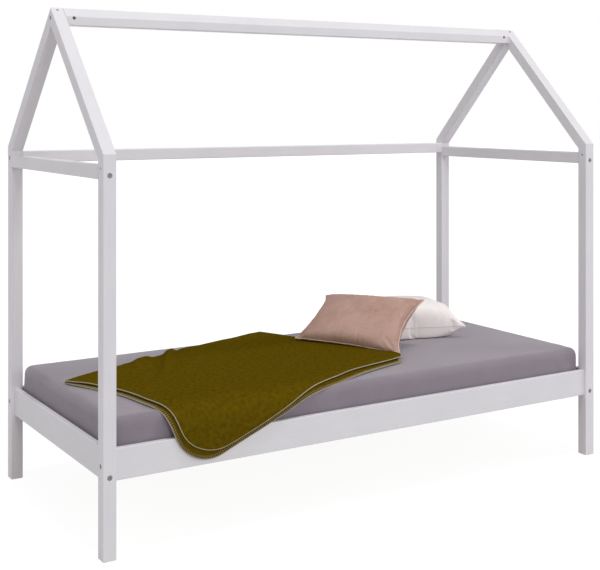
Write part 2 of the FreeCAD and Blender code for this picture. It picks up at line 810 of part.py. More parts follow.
def throwOutline():
    """Corner points of the folded throw seen from above, and where its edges reach the front."""
    turn = math.radians(size("throw_turn"))
    longWay = Vector(math.cos(turn), math.sin(turn), 0)
    shortWay = Vector(math.sin(turn), -math.cos(turn), 0)
    farY = size("mattress_width / 2 - throw_far_corner_inset")
    far = Vector(size("throw_far_corner_x"), farY, 0)
    tip = far.sub(longWay * size("throw_long_side"))
    head = far.add(shortWay * size("throw_short_side"))
    hanging = tip.add(shortWay * size("throw_short_side"))
    front = -size("mattress_width") / 2
    leftX = tip.x + (tip.y - front) * math.tan(turn) - size("throw_front_flare")
    rightX = head.x - (head.y - front) / math.tan(turn)
    return {
        "far": far, "tip": tip, "head": head, "hanging": hanging, "longWay": longWay,
        "shortWay": shortWay, "front": front, "leftX": leftX, "rightX": rightX,
    }


def prism(points, direction):
    return Part.Face(Part.makePolygon(points + [points[0]])).extrude(direction)


def hangingFace(outline, plan):
    """The part in front of the mattress edge, seen from the front: a rounded corner."""
    y = -size("bed_width")
    top = size("mattress_top + throw_thickness + throw_fold_height")
    low = size("board_base + board_height - throw_fall")
    railTop = size("board_base + board_height")
    left = outline["leftX"]
    flare = size("throw_front_flare")
    cornerLeft = outline["hanging"].x - flare / 2
    cornerRight = outline["hanging"].x + flare / 2
    start = Vector(left, y, top)
    shoulder = Vector(left + flare / 2, y, railTop)
    belly = Vector((shoulder.x + cornerLeft) / 2 - flare / 8, y, (railTop + 2 * low) / 3)
    footLeft = Vector(cornerLeft, y, low)
    footRight = Vector(cornerRight, y, low)
    right = Vector(outline["rightX"], y, size("mattress_top"))
    end = Vector(outline["rightX"], y, top)
    edges = [
        Part.LineSegment(start, shoulder).toShape(),
        arcThrough(shoulder, belly, footLeft),
        Part.LineSegment(footLeft, footRight).toShape(),
        Part.LineSegment(footRight, right).toShape(),
        Part.LineSegment(right, end).toShape(),
        Part.LineSegment(end, start).toShape(),
    ]
    return Part.Face(Part.Wire(edges)).extrude(Vector(0, outline["front"] - y, 0))


def foldRidge(start, direction, length, width, height, base):
    """A soft fold that swells and fades out along its length: arcs over a flat foot."""
    side = Vector(-direction.y, direction.x, 0)

    def section(share, swell):
        at = Vector(start.x, start.y, base).add(direction * (length * share))
        left = at.add(side * (width / 2 * swell))
        right = at.sub(side * (width / 2 * swell))
        crest = at.add(Vector(0, 0, height * swell))
        return Part.Wire([arcThrough(left, crest, right), Part.LineSegment(right, left).toShape()])

    return Part.makeLoft([section(0, 0.4), section(0.3, 1), section(1, 0.25)], True, False)


def makeThrow():
    """Two layers of a folded throw as one thick cloth, laid askew over the mattress and rail."""
    plan = drapePlan()
    outline = throwOutline()
    inner = drapeCurve(0, plan)
    outer = drapeCurve(size("throw_thickness"), plan)
    ends = [
        Part.LineSegment(inner[-1].Vertexes[-1].Point, outer[-1].Vertexes[-1].Point).toShape(),
        Part.LineSegment(outer[0].Vertexes[0].Point, inner[0].Vertexes[0].Point).toShape(),
    ]
    profile = Part.Wire(Part.__sortEdges__(inner + outer + ends))
    reach = size("mattress_length")
    cloth = Part.Face(profile).extrude(Vector(reach, 0, 0))
    cloth.translate(Vector(-reach / 2, 0, 0))

    low = size("board_base")
    tall = Vector(0, 0, size("mattress_top"))
    front = outline["front"]
    above = [
        outline["tip"],
        Vector(outline["leftX"], front, 0),
        Vector(outline["rightX"], front, 0),
        outline["head"],
        outline["far"],
    ]
    above = [Vector(point.x, point.y, low) for point in above]
    mask = prism(above, tall).fuse(hangingFace(outline, plan)).removeSplitter()
    sheetBody = cloth.common(mask).removeSplitter()

    top = size("mattress_top + seat_gap + throw_thickness - 1")
    height = size("throw_fold_height") + 1
    width = size("throw_fold_width")
    ridges = []
    for share, stretch in ((0.24, 0.42), (0.36, 0.3), (0.52, 0.5)):
        start = outline["tip"].add(outline["longWay"] * (size("throw_long_side") * share))
        start = start.add(outline["shortWay"] * (width / 4))
        length = size("throw_short_side") * stretch
        ridges.append(foldRidge(start, outline["shortWay"], length, width, height, top))
    edgeStart = outline["far"].sub(outline["longWay"] * (width / 2))
    edgeStart = edgeStart.add(outline["shortWay"] * (width / 2))
    edgeRun = size("throw_long_side") * 0.55
    ridges.append(foldRidge(edgeStart, outline["longWay"] * -1, edgeRun, width, height, top))
    for ridge in ridges:
        sheetBody = sheetBody.fuse(ridge)
    shaped = doc.addObject("Part::Feature", "throw_body")
    shaped.Shape = sheetBody.removeSplitter()
    return finish("throw_blanket", shaped)


# ---------------------------------------------------------------- cushions

# height share, how far the outline shrinks, and how much its sides bow: -1 in, 1 out
crownSteps = ((0.28, 0.955, -0.6), (0.56, 0.86, -0.1), (0.8, 0.7, 0.3), (0.95, 0.46, 0.5), (1.0, 0.22, 0.5))
flatSteps = ((0.35, 0.97, -0.4), (0.75, 0.9, 0.1), (1.0, 0.8, 0.3))


def cushionRing(length, width, shrink, bow, height):
    """One level outline of a cushion: four bowed sides and four rounded corners."""
    drawn = (1 - shrink) * min(length, width) / 2
    halfLength = length / 2 - drawn
    halfWidth = width / 2 - drawn
    corner = size("cushion_corner") * (2 - shrink)
    bulge = bow * size("cushion_draw_in")
    slack = corner * (1 - math.sqrt(0.5))
    edges = []
    for turn, along_, across in (
        (0, halfLength, halfWidth), (90, halfWidth, halfLength),
        (180, halfLength, halfWidth), (270, halfWidth, halfLength),
    ):
        spin = Rotation(Vector(0, 0, 1), turn)
        points = [
            Vector(-along_ + corner, -across, 0),
            Vector(0, -across - bulge, 0),
            Vector(along_ - corner, -across, 0),
            Vector(along_ - slack, -across + slack, 0),
            Vector(along_, -across + corner, 0),
        ]
        points = [spin.multVec(point).add(Vector(0, 0, height)) for point in points]
        edges.append(arcThrough(points[0], points[1], points[2]))
        edges.append(arcThrough(points[2], points[3], points[4]))
    return Part.Wire(edges)


def cushionSolid(length, width, crown, underside, underSteps):
    rings = [cushionRing(length, width, s, b, -h * underside) for h, s, b in reversed(underSteps)]
    rings.append(cushionRing(length, width, 1.0, -1, 0))
    rings += [cushionRing(length, width, s, b, h * crown) for h, s, b in crownSteps]
    return Part.makeLoft(rings, True, False, False, 3)


def approach(moving, still, direction, gap):
    """Slide a shape along a direction until it is a gap away from another."""
    placement = moving.Placement
    for _ in range(12):
        room = moving.distToShape(still)[0] - gap
        if room < 0.02:
            break
        placement = Placement(placement.Base.add(direction * room), placement.Rotation)
        moving.Placement = placement
    return placement


def makeCushions(throwShape):
    square = doc.addObject("Part::Feature", "square_cushion_body")
    square.Shape = cushionSolid(
        size("square_length"), size("square_width"), size("square_crown"), size("square_underside"), flatSteps)
    seat = size("mattress_top + seat_gap + square_underside")
    spin = Rotation(Vector(0, 0, 1), size("square_turn"))
    square.Placement = Placement(Vector(size("square_x"), size("square_y"), seat), spin)
    finish("cushion_square", square)

    half = size("long_half_thickness")
    solid = cushionSolid(size("long_length"), size("long_width"), half, half, crownSteps)
    spin = Rotation(Vector(0, 0, 1), size("long_turn")) * Rotation(Vector(1, 0, 0), size("long_lean"))
    solid.Placement = Placement(Vector(size("long_x"), size("long_y"), 0), spin)
    lowest = solid.optimalBoundingBox(False, False).ZMin
    clothTop = size("mattress_top + 2 * seat_gap + throw_thickness")
    lean = Rotation(Vector(0, 0, 1), size("long_turn")).multVec(Vector(0, 1, 0))
    start = Vector(size("long_x"), size("long_y"), clothTop - lowest).sub(lean * half)
    solid.Placement = Placement(start, spin)
    resting = approach(solid, square.Shape, lean, size("seat_gap"))
    long = doc.addObject("Part::Feature", "long_cushion_body")
    long.Shape = solid
    long.Placement = resting
    finish("cushion_long", long)


# ---------------------------------------------------------------- the whole bed

acrossLength = Vector(1, 0, 0)
acrossWidth = Vector(0, 1, 0)
makePost("post_front_left", 1)
makePost("post_back_left", -1)
makeRafter("rafter_left_front", 1)
makeRafter("rafter_left_back", -1)
makeCrossbar("gable_crossbar_left")
makeFootBoard("end_board_foot")
finishMirrored("post_front_right", "post_front_left", acrossLength)
finishMirrored("post_back_right", "post_back_left", acrossLength)
finishMirrored("rafter_right_front", "rafter_left_front", acrossLength)
finishMirrored("rafter_right_back", "rafter_left_back", acrossLength)
finishMirrored("gable_crossbar_right", "gable_crossbar_left", acrossLength)
finishMirrored("end_board_head", "end_board_foot", acrossLength)
makeRidgeBeam()
makeEaveBeam()
makeFrontRail("side_rail_front")
finishMirrored("side_rail_back", "side_rail_front", acrossWidth)
makeSlatBase()
makeBoltsAndNuts()
makeDowels()
makeApexScrews()
makeMattress()
makeThrow()
doc.recompute()
makeCushions(finished["throw_blanket"].Shape)
doc.recompute()

faulty = [thing.Name for thing in doc.Objects if "Invalid" in thing.State or "Error" in thing.State]
if faulty:
    raise RuntimeError("failed objects: " + ", ".join(faulty))
os.makedirs("parts", exist_ok=True)
for node, thing in finished.items():
    if thing.Shape.isNull() or not thing.Shape.isValid() or not thing.Shape.Solids:
        raise RuntimeError("bad shape: " + node)
    thing.Shape.exportStep("parts/%s.step" % node)
print(len(finished), "sub-parts written")
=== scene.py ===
import math
import bpy
import bmesh
import numpy as np
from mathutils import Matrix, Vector, noise
from mathutils.bvhtree import BVHTree


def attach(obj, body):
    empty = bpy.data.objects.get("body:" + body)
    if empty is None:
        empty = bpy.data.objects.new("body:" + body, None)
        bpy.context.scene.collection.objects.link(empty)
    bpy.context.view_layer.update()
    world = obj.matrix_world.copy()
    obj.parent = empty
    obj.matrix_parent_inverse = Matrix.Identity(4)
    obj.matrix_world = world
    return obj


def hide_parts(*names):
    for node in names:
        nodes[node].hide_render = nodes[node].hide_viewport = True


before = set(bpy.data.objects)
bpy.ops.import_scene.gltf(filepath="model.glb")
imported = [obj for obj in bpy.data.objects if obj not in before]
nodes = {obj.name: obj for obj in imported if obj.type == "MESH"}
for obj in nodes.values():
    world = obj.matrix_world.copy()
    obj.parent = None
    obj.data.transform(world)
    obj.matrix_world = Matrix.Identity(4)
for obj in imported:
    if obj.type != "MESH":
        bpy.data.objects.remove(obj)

scene = bpy.context.scene
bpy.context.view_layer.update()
print("stage: frame loaded,", len(nodes), "nodes")


def newObject(name, data):
    thing = bpy.data.objects.new(name, data)
    scene.collection.objects.link(thing)
    return thing


# camera, fitted to the photo's measured edges; level, with the frame shifted down
cameraSpec = {
    "place": (-2.3211, -3.7759, 1.3795),
    "turn": 32.2,
    "focal": 1137.4,
    "centre": (322.6, 110.8),
    "picture": (600, 570),
    "sensor": 36.0,
    "farthest": 200,
}


def makeCamera(spec):
    wide, high = spec["picture"]
    data = bpy.data.cameras.new("photoCamera")
    data.sensor_width = spec["sensor"]
    data.lens = spec["focal"] / wide * spec["sensor"]
    data.shift_x = (wide / 2 - spec["centre"][0]) / wide
    data.shift_y = (spec["centre"][1] - high / 2) / wide
    data.clip_end = spec["farthest"]
    camera = newObject("photoCamera", data)
    camera.location = spec["place"]
    camera.rotation_euler = (math.radians(90), 0, math.radians(-spec["turn"]))
    scene.camera = camera


makeCamera(cameraSpec)


def hexColour(text):
    """sRGB hex to linear RGBA."""
    parts = [int(text[i:i + 2], 16) / 255 for i in (1, 3, 5)]
    linear = [c / 12.92 if c <= 0.04045 else ((c + 0.055) / 1.055) ** 2.4 for c in parts]
    return (*linear, 1)


def feed(tree, node, values):
    """Fills a node's inputs: a socket is linked, anything else becomes the input's value."""
    for name, value in values.items():
        if isinstance(value, bpy.types.NodeSocket):
            tree.links.new(value, node.inputs[name])
        else:
            node.inputs[name].default_value = value


def addNode(tree, kind, inputs=None, **settings):
    node = tree.nodes.new(kind)
    for name, value in settings.items():
        setattr(node, name, value)
    feed(tree, node, inputs or {})
    return node


def outOf(tree, output, kind, inputs=None, **settings):
    """One output of a new node."""
    return addNode(tree, kind, inputs, **settings).outputs[output]


def newMaterial(name):
    material = bpy.data.materials.new(name)
    material.use_nodes = True
    tree = material.node_tree
    return material, tree, tree.nodes["Principled BSDF"]


def ramp(tree, value, low, high, lowHex, highHex):
    """A two-colour ramp between two values."""
    node = addNode(tree, "ShaderNodeValToRGB", {"Fac": value})
    for element, place, colour in zip(node.color_ramp.elements, (low, high), (lowHex, highHex)):
        element.position = place
        element.color = hexColour(colour)
    return node.outputs["Color"]


def maths(tree, operation, *values):
    """The outcome of a math node over numbers or sockets."""
    return outOf(tree, 0, "ShaderNodeMath", dict(enumerate(values)), operation=operation)


def objectPlace(tree):
    return outOf(tree, "Object", "ShaderNodeTexCoord")


def noiseAt(tree, place, scale, detail, **more):
    """Noise with so many features to the metre."""
    inputs = {"Vector": place, "Scale": scale, "Detail": detail, **more}
    return outOf(tree, "Fac", "ShaderNodeTexNoise", inputs)


def mapped(tree, place, **inputs):
    return outOf(tree, "Vector", "ShaderNodeMapping", {"Vector": place, **inputs})


def between(tree, value, low, high):
    """A value from 0 to 1, spread from low to high."""
    return outOf(tree, "Result", "ShaderNodeMapRange", {"Value": value, "To Min": low, "To Max": high})


def bumped(tree, height, strength, distance):
    inputs = {"Height": height, "Strength": strength, "Distance": distance}
    return outOf(tree, "Normal", "ShaderNodeBump", inputs)


# white satin lacquer, as sprayed on the frame
paintSpec = {
    "white": "#e6e3e7",
    "shade": "#dedbe0",
    "roughness": (0.37, 0.49),
    "grainAcross": 0.004,  # metres between grain lines that still show through the lacquer
    "grainAlong": 0.16,
    "clouds": 6.0,  # to the metre, as is the peel
    "peel": 420.0,
    "peelShare": 0.25,
    "bump": (0.12, 0.0004),  # strength, metres
}

# light, dark, metres across and along the grain
rawWoodSpec = {
    "pine": ("#d9b98a", "#bf9763", 0.009, 0.22),
    "beech": ("#c79d70", "#b0845a", 0.003, 0.05),
}

# turns that lay each timber's grain along X: a tilt about X first, then the turn, in degrees
grainTurns = {
    "alongX": (0, (0, 0, 0)),
    "alongY": (0, (0, 0, -90)),
    "alongZ": (0, (0, 90, 0)),
    "frontSlope": (-45, (0, 0, -90)),
    "backSlope": (45, (0, 0, -90)),
}


def grainCoordinates(tree, direction, across, along):
    """Object coordinates with the grain laid along X, scaled to the grain's real size."""
    tilt, turn = grainTurns[direction]
    tilted = mapped(tree, objectPlace(tree), Rotation=(math.radians(tilt), 0, 0))
    laid = mapped(tree, tilted, Rotation=[math.radians(a) for a in turn])
    return mapped(tree, laid, Scale=(1 / along, 1 / across, 1 / across))


def paintedTimber(direction, spec=paintSpec):
    """Planed timber, sprayed with white satin lacquer: a cool white with the grain just felt under it."""
    material, tree, shader = newMaterial("lacqueredTimber_" + direction)
    grain = grainCoordinates(tree, direction, spec["grainAcross"], spec["grainAlong"])
    place = objectPlace(tree)
    streak = noiseAt(tree, grain, 1.0, 5.0, Roughness=0.6)
    cloudy = noiseAt(tree, place, spec["clouds"], 2.0)
    peel = noiseAt(tree, place, spec["peel"], 1.0)
    blend = maths(tree, "MULTIPLY_ADD", cloudy, 0.5, maths(tree, "MULTIPLY", streak, 0.5))
    height = maths(tree, "MULTIPLY_ADD", peel, spec["peelShare"], streak)
    feed(tree, shader, {
        "Base Color": ramp(tree, blend, 0.3, 0.7, spec["shade"], spec["white"]),
        "Roughness": between(tree, streak, *spec["roughness"]),
        "Normal": bumped(tree, height, *spec["bump"]),
        "IOR": 1.5,
        "Specular IOR Level": 0.4,
    })
    return material


def rawTimber(name, direction):
    """Planed, unfinished wood: warm, dry and streaked along the grain, with darker late-wood lines."""
    light, dark, across, along = rawWoodSpec[name]
    material, tree, shader = newMaterial("planed_" + name + "_" + direction)
    grain = grainCoordinates(tree, direction, across, along)
    rings = noiseAt(tree, grain, 1.0, 6.0, Distortion=0.4)
    both = maths(tree, "MULTIPLY_ADD", noiseAt(tree, grain, 6.0, 3.0), 0.3, rings)
    feed(tree, shader, {
        "Base Color": ramp(tree, both, 0.5, 0.85, light, dark),
        "Roughness": 0.68,
        "Normal": bumped(tree, both, 0.3, 0.0006),
    })
    return material


def zincSteel():
    """Zinc-plated steel, turned and tumbled: a dull dark grey, finely mottled."""
    material, tree, shader = newMaterial("zincPlatedSteel")
    mottle = noiseAt(tree, objectPlace(tree), 300.0, 3.0)
    feed(tree, shader, {
        "Base Color": ramp(tree, mottle, 0.3, 0.75, "#7b787a", "#979496"),
        "Roughness": between(tree, mottle, 0.32, 0.5),
        "Metallic": 0.9,
    })
    return material


# how a node's name ends or begins, then the maker of its material and what the maker is told
finishes = (
    (str.endswith, ("bolts", "nuts", "screws"), (zincSteel,)),
    (str.endswith, "dowels", (rawTimber, "beech", "alongX")),
    (str.startswith, "post_", (paintedTimber, "alongZ")),
    (str.startswith, ("rafter_left_front", "rafter_right_front"), (paintedTimber, "frontSlope")),
    (str.startswith, "rafter_", (paintedTimber, "backSlope")),
    (str.startswith, ("gable_crossbar", "end_board"), (paintedTimber, "alongY")),
    (str.startswith, ("ridge_beam", "eave_beam", "side_rail"), (paintedTimber, "alongX")),
    (str.startswith, "ledger_", (rawTimber, "pine", "alongX")),
    (str.startswith, "slat_", (rawTimber, "pine", "alongY")),
)


def dressFrame():
    """Gives every timber its lacquer or raw wood with the grain along it, and the fittings their zinc."""
    made = {}
    for name, thing in nodes.items():
        finish = next((finish for test, words, finish in finishes if test(name, words)), None)
        if finish is None:
            continue
        if finish not in made:
            made[finish] = finish[0](*finish[1:])
        for place in thing.material_slots:
            place.material = made[finish]
    print("stage: timber and fittings dressed")


dressFrame()


# cloths; their threads follow the flatCloth UV map, which is in metres
# patch is blotches to the metre, thread is metres between threads
clothSpecs = {
    "cottonJersey": {
        "light": "#938a94", "dark": "#877d87", "patch": 3.0, "thread": 0.0016, "bump": 0.25,
        "roughness": 0.85, "shine": 0.08, "sheen": 0.45, "slub": 0.25,
    },
    "brushedWool": {
        "light": "#6b570b", "dark": "#4e3f07", "patch": 60.0, "thread": 0.0032, "bump": 0.35,
        "roughness": 1.0, "shine": 0.0, "sheen": 0.0, "slub": 0.5,
    },
    "dustyLinen": {
        "light": "#c9a699", "dark": "#b48f81", "patch": 7.0, "thread": 0.0018, "bump": 0.4,
        "roughness": 0.95, "shine": 0.05, "sheen": 0.05, "slub": 0.8,
    },
    "creamCotton": {
        "light": "#fffaf8", "dark": "#f8f0ee", "patch": 6.0, "thread": 0.0016, "bump": 0.3,
        "roughness": 0.9, "shine": 0.08, "sheen": 0.0, "slub": 0.4,
    },
}

# what all cloths share: the threads' wander, slubs to the metre along and across, the colours' spread
weaveSpec = {"wander": (60.0, 4.0), "slubs": (18, 260), "spread": 0.24}


def wovenCloth(name):
    """Woven or knitted cloth: crossing threads with thick and thin places, matt, with a soft edge glow."""
    spec = clothSpecs[name]
    material, tree, shader = newMaterial(name)
    uv = outOf(tree, "UV", "ShaderNodeUVMap", uv_map="flatCloth")
    split = addNode(tree, "ShaderNodeSeparateXYZ", {"Vector": uv})
    perMetre, strength = weaveSpec["wander"]
    wander = noiseAt(tree, uv, perMetre, 2.0)
    waves = []
    for axis in ("X", "Y"):
        turns = maths(tree, "MULTIPLY", split.outputs[axis], 2 * math.pi / spec["thread"])
        waves.append(maths(tree, "SINE", maths(tree, "MULTIPLY_ADD", wander, strength, turns)))
    weave = maths(tree, "MULTIPLY", *waves)
    along, across = weaveSpec["slubs"]
    slubX = noiseAt(tree, mapped(tree, uv, Scale=(along, across, 1)), 1.0, 3.0)
    slubY = noiseAt(tree, mapped(tree, uv, Scale=(across, along, 1)), 1.0, 3.0)
    slubs = maths(tree, "ADD", slubX, slubY)
    patch = noiseAt(tree, uv, spec["patch"], 5.0, Roughness=0.65)
    shade = maths(tree, "MULTIPLY_ADD", slubs, 0.5 * spec["slub"], patch)
    middle, spread = 0.5 + 0.5 * spec["slub"], weaveSpec["spread"]
    height = maths(tree, "MULTIPLY_ADD", slubs, spec["slub"], weave)
    feed(tree, shader, {
        "Base Color": ramp(tree, shade, middle - spread, middle + spread, spec["dark"], spec["light"]),
        "Normal": bumped(tree, height, spec["bump"], spec["thread"] * 0.25),
        "Roughness": spec["roughness"],
        "Sheen Weight": spec["sheen"],
        "Sheen Roughness": 0.5,
        "Specular IOR Level": spec["shine"],
    })
    return material


def spunYarn(name, colours):
    """Twisted wool yarn: pale, matt and slightly hairy."""
    material, tree, shader = newMaterial(name)
    fluff = noiseAt(tree, objectPlace(tree), 900.0, 2.0)
    feed(tree, shader, {
        "Base Color": ramp(tree, fluff, 0.3, 0.7, *colours),
        "Normal": bumped(tree, fluff, 0.5, 0.0005),
        "Roughness": 0.9,
        "Sheen Weight": 0.3,
    })
    return material


def foamRubber():
    """Cut polyurethane foam: off-white, matt and finely pored."""
    material, tree, shader = newMaterial("cutFoam")
    inputs = {"Vector": objectPlace(tree), "Scale": 450.0}
    pores = outOf(tree, "Distance", "ShaderNodeTexVoronoi", inputs)
    feed(tree, shader, {
        "Base Color": ramp(tree, pores, 0.1, 0.6, "#c9c2ae", "#e8e2d2"),
        "Normal": bumped(tree, pores, 0.5, 0.001),
        "Roughness": 0.95,
    })
    return material


def smoothObject(name, mesh, material):
    mesh.materials.append(material)
    mesh.polygons.foreach_set("use_smooth", [True] * len(mesh.polygons))
    return newObject(name, mesh)


def meshObject(name, points, faces, material, uvs=None):
    """A smooth-shaded mesh object at the origin; uvs gives one flat place per point."""
    mesh = bpy.data.meshes.new(name)
    mesh.from_pydata([tuple(p) for p in points], [], faces)
    if uvs is not None:
        layer = mesh.uv_layers.new(name="flatCloth")
        corners = np.zeros(len(mesh.loops), np.int32)
        mesh.loops.foreach_get("vertex_index", corners)
        layer.data.foreach_set("uv", np.asarray(uvs, np.float32)[corners].ravel())
    mesh.update()
    return smoothObject(name, mesh, material)


def fromBmesh(name, build, material):
    mesh = bpy.data.meshes.new(name)
    build.to_mesh(mesh)
    build.free()
    return smoothObject(name, mesh, material)


def gridFaces(rows, columns):
    return [(r * columns + c, r * columns + c + 1, (r + 1) * columns + c + 1, (r + 1) * columns + c)
            for r in range(rows - 1) for c in range(columns - 1)]


def ringOf(rows, columns):
    """The (row, column) places round a grid, in order."""
    return ([(row, 0) for row in range(rows)]
            + [(rows, column) for column in range(columns)]
            + [(row, columns) for row in range(rows, 0, -1)]
            + [(0, column) for column in range(columns, 0, -1)])


def noiseIn(*place):
    """Smooth noise from -1 to 1 at a place in space."""
    return noise.noise(Vector(place))


def smoothStep(low, high, value):
    t = min(max((value - low) / (high - low), 0.0), 1.0)
    return t * t * (3 - 2 * t)


def alongTable(table, value):
    """A smooth curve through (place, height) pairs."""
    if value <= table[0][0]:
        return table[0][1]
    for (a, low), (b, high) in zip(table, table[1:]):
        if value < b:
            return low + (high - low) * smoothStep(a, b, value)
    return table[-1][1]


def besideLine(place, start, end):
    """Where a place lies along a line, as a share of it, and how far beside it."""
    line = Vector(end) - Vector(start)
    away = Vector(place) - Vector(start)
    share = away.dot(line) / line.length_squared
    return share, (away - line * share).length


def applyModifiers(thing):
    """Turns the evaluated object into its plain mesh."""
    seen = thing.evaluated_get(bpy.context.evaluated_depsgraph_get())
    mesh = bpy.data.meshes.new_from_object(seen)
    thing.modifiers.clear()
    old = thing.data
    thing.data = mesh
    bpy.data.meshes.remove(old)
    return thing


def thicken(thing, thickness, offset):
    """Gives cloth its thickness; offset -1 puts it inside the surface, 0 on both sides."""
    wall = thing.modifiers.new("wall", "SOLIDIFY")
    wall.thickness = thickness
    wall.offset = offset
    return applyModifiers(thing)


# mattress and fitted sheet, in metres
mattressSpec = {
    "half": (1.0, 0.45),
    "base": 0.2853,
    "top": 0.4253,
    "corner": 0.04,
    "edge": 0.028,
    "foamParts": (6, 5),  # facets of the foam's round corners and edges
    "sheetThickness": 0.0012,
    "inside": 0.0016,  # how far the smooth sheet lies inside the mattress's outline
    "coreInset": 0.0024,
    "turnUnder": 0.085,
    "step": 0.014,
    # the wrinkles: heights in metres, waves and lines to the metre
    "slackIn": 0.001,  # the most that slack cotton sinks towards the foam
    "sideSlack": 0.0016,
    "sideWaves": (9, 9, 2.2),
    "sideBand": 0.05,
    "rimShare": 0.4,  # of the side's slack that is left at its top and bottom
    "topSlack": 0.0012,
    "topWaves": (3.1, 4.3),
    "tension": 0.0022,
    "tensionReach": 0.16,  # from the upright corners
    "tensionLines": (60, 34),
    "pucker": 0.0012,  # of the elastic under the mattress
    "puckerLines": 95,
    "puckerFree": 0.03,
}

# a length under this counts as nothing
tiny = 1e-9


def roundedBoxPoint(point, spec):
    """A point on the mattress's square box, moved onto the same box with rounded corners and edges."""
    x, y, z = point
    corner, edge = spec["corner"], spec["edge"]
    inX, inY = (h - corner for h in spec["half"])
    cx, cy = max(-inX, min(inX, x)), max(-inY, min(inY, y))
    away = Vector((x - cx, y - cy))
    reach = max(abs(away.x), abs(away.y)) / corner
    flat = away.normalized() * corner * reach if away.length > tiny else Vector((0, 0))
    inZ = max(spec["base"] + edge, min(spec["top"] - edge, z))
    depth = corner * (1 - reach)  # how far inside the outer wall the point lies
    lift = (z - inZ) / edge
    if abs(lift) > tiny and depth < edge:
        side = 1 - depth / edge
        length = math.hypot(side, lift)
        most = max(side, abs(lift))
        side, lift = side / length * most, lift / length * most
        ratio = (corner - edge + side * edge) / corner
        flat = flat.normalized() * corner * ratio if flat.length > tiny else flat
    return Vector((cx + flat.x, cy + flat.y, inZ + lift * edge))


def sheetWrinkle(point, spec):
    """How far the cotton stands off the mattress: slack on the sides, tension lines at the corners."""
    x, y, z = point
    inX, inY = (h - abs(c) for h, c in zip(spec["half"], point))
    height = min(max((z - spec["base"]) / (spec["top"] - spec["base"]), 0), 1)
    slack = noiseIn(*(c * waves for c, waves in zip(point, spec["sideWaves"]))) * spec["sideSlack"]
    pull = math.exp(-(math.hypot(inX, inY) / spec["tensionReach"]) ** 2)
    aside, up = spec["tensionLines"]
    lines = (abs(x) - abs(y)) * aside + z * up + 2 * noise.noise(point * 7)
    tension = math.sin(lines) * spec["tension"] * pull
    onSide = smoothStep(spec["sideBand"], 0.0, min(inX, inY))
    wavesX, wavesY = spec["topWaves"]
    top = noiseIn(x * wavesX, y * wavesY, 4.0) * spec["topSlack"]
    belly = spec["rimShare"] + (1 - spec["rimShare"]) * math.sin(math.pi * height)
    return onSide * (slack + tension) * belly + (1 - onSide) * top


def sheetPlace(place, normal, spec):
    """Where a point of the smooth sheet goes: wrinkled outside, puckered by the elastic underneath."""
    if normal.z < -0.5:
        inward = min(h - abs(c) for h, c in zip(spec["half"], place))
        gather = smoothStep(spec["puckerFree"], spec["turnUnder"], inward)
        pucker = spec["pucker"] * gather * abs(math.sin((place.x + place.y) * spec["puckerLines"]))
        return place + Vector((0, 0, pucker))
    lift = max(sheetWrinkle(place, spec), -spec["slackIn"])
    return place - normal * spec["inside"] + normal * lift


def cellOf(across, up, i, j):
    """The four corners of a cell between two rows of places."""
    return [(across[i], up[j]), (across[i + 1], up[j]), (across[i + 1], up[j + 1]), (across[i], up[j + 1])]


def makeFittedSheet(spec):
    """Cotton round the whole mattress, turned under all round and open below its middle."""
    half, low, high, step, under = (spec[word] for word in ("half", "base", "top", "step", "turnUnder"))
    countX, countY, countZ = (round(length / step) for length in (2 * half[0], 2 * half[1], high - low))
    xs, ys = (np.linspace(-h, h, count + 1) for h, count in zip(half, (countX, countY)))
    zs = np.linspace(low, high, countZ + 1)
    build = bmesh.new()
    flat = build.loops.layers.uv.new("flatCloth")
    known = {}

    def corner(place):
        key = tuple(round(c, 5) for c in place)
        if key not in known:
            known[key] = build.verts.new(key)
        return known[key]

    def addFace(corners, uvs):
        face = build.faces.new([corner(c) for c in corners])
        for loop, uv in zip(face.loops, uvs):
            loop[flat].uv = uv

    for i in range(countX):
        for j in range(countY):
            cell = cellOf(xs, ys, i, j)
            addFace([(x, y, high) for x, y in cell], cell)
            middle = (abs(xs[i] + xs[i + 1]) / 2, abs(ys[j] + ys[j + 1]) / 2)
            if middle[0] > half[0] - under or middle[1] > half[1] - under:
                addFace([(x, y, low) for x, y in cell[::-1]], cell[::-1])
    for k in range(countZ):
        for i in range(countX):
            for y, turn in ((-half[1], 1), (half[1], -1)):
                cell = cellOf(xs, zs, i, k)[::turn]
                addFace([(x, y, z) for x, z in cell], [(x, y + turn * (z - high)) for x, z in cell])
        for j in range(countY):
            for x, turn in ((half[0], 1), (-half[0], -1)):
                cell = cellOf(ys, zs, j, k)[::turn]
                addFace([(x, y, z) for y, z in cell], [(x - turn * (z - high), y) for y, z in cell])
    for vert in build.verts:
        vert.co = roundedBoxPoint(vert.co, spec)
    build.normal_update()
    for vert in build.verts:
        vert.co = sheetPlace(vert.co, vert.normal, spec)
    sheet = fromBmesh("fittedSheet", build, wovenCloth("cottonJersey"))
    return thicken(sheet, spec["sheetThickness"], -1)


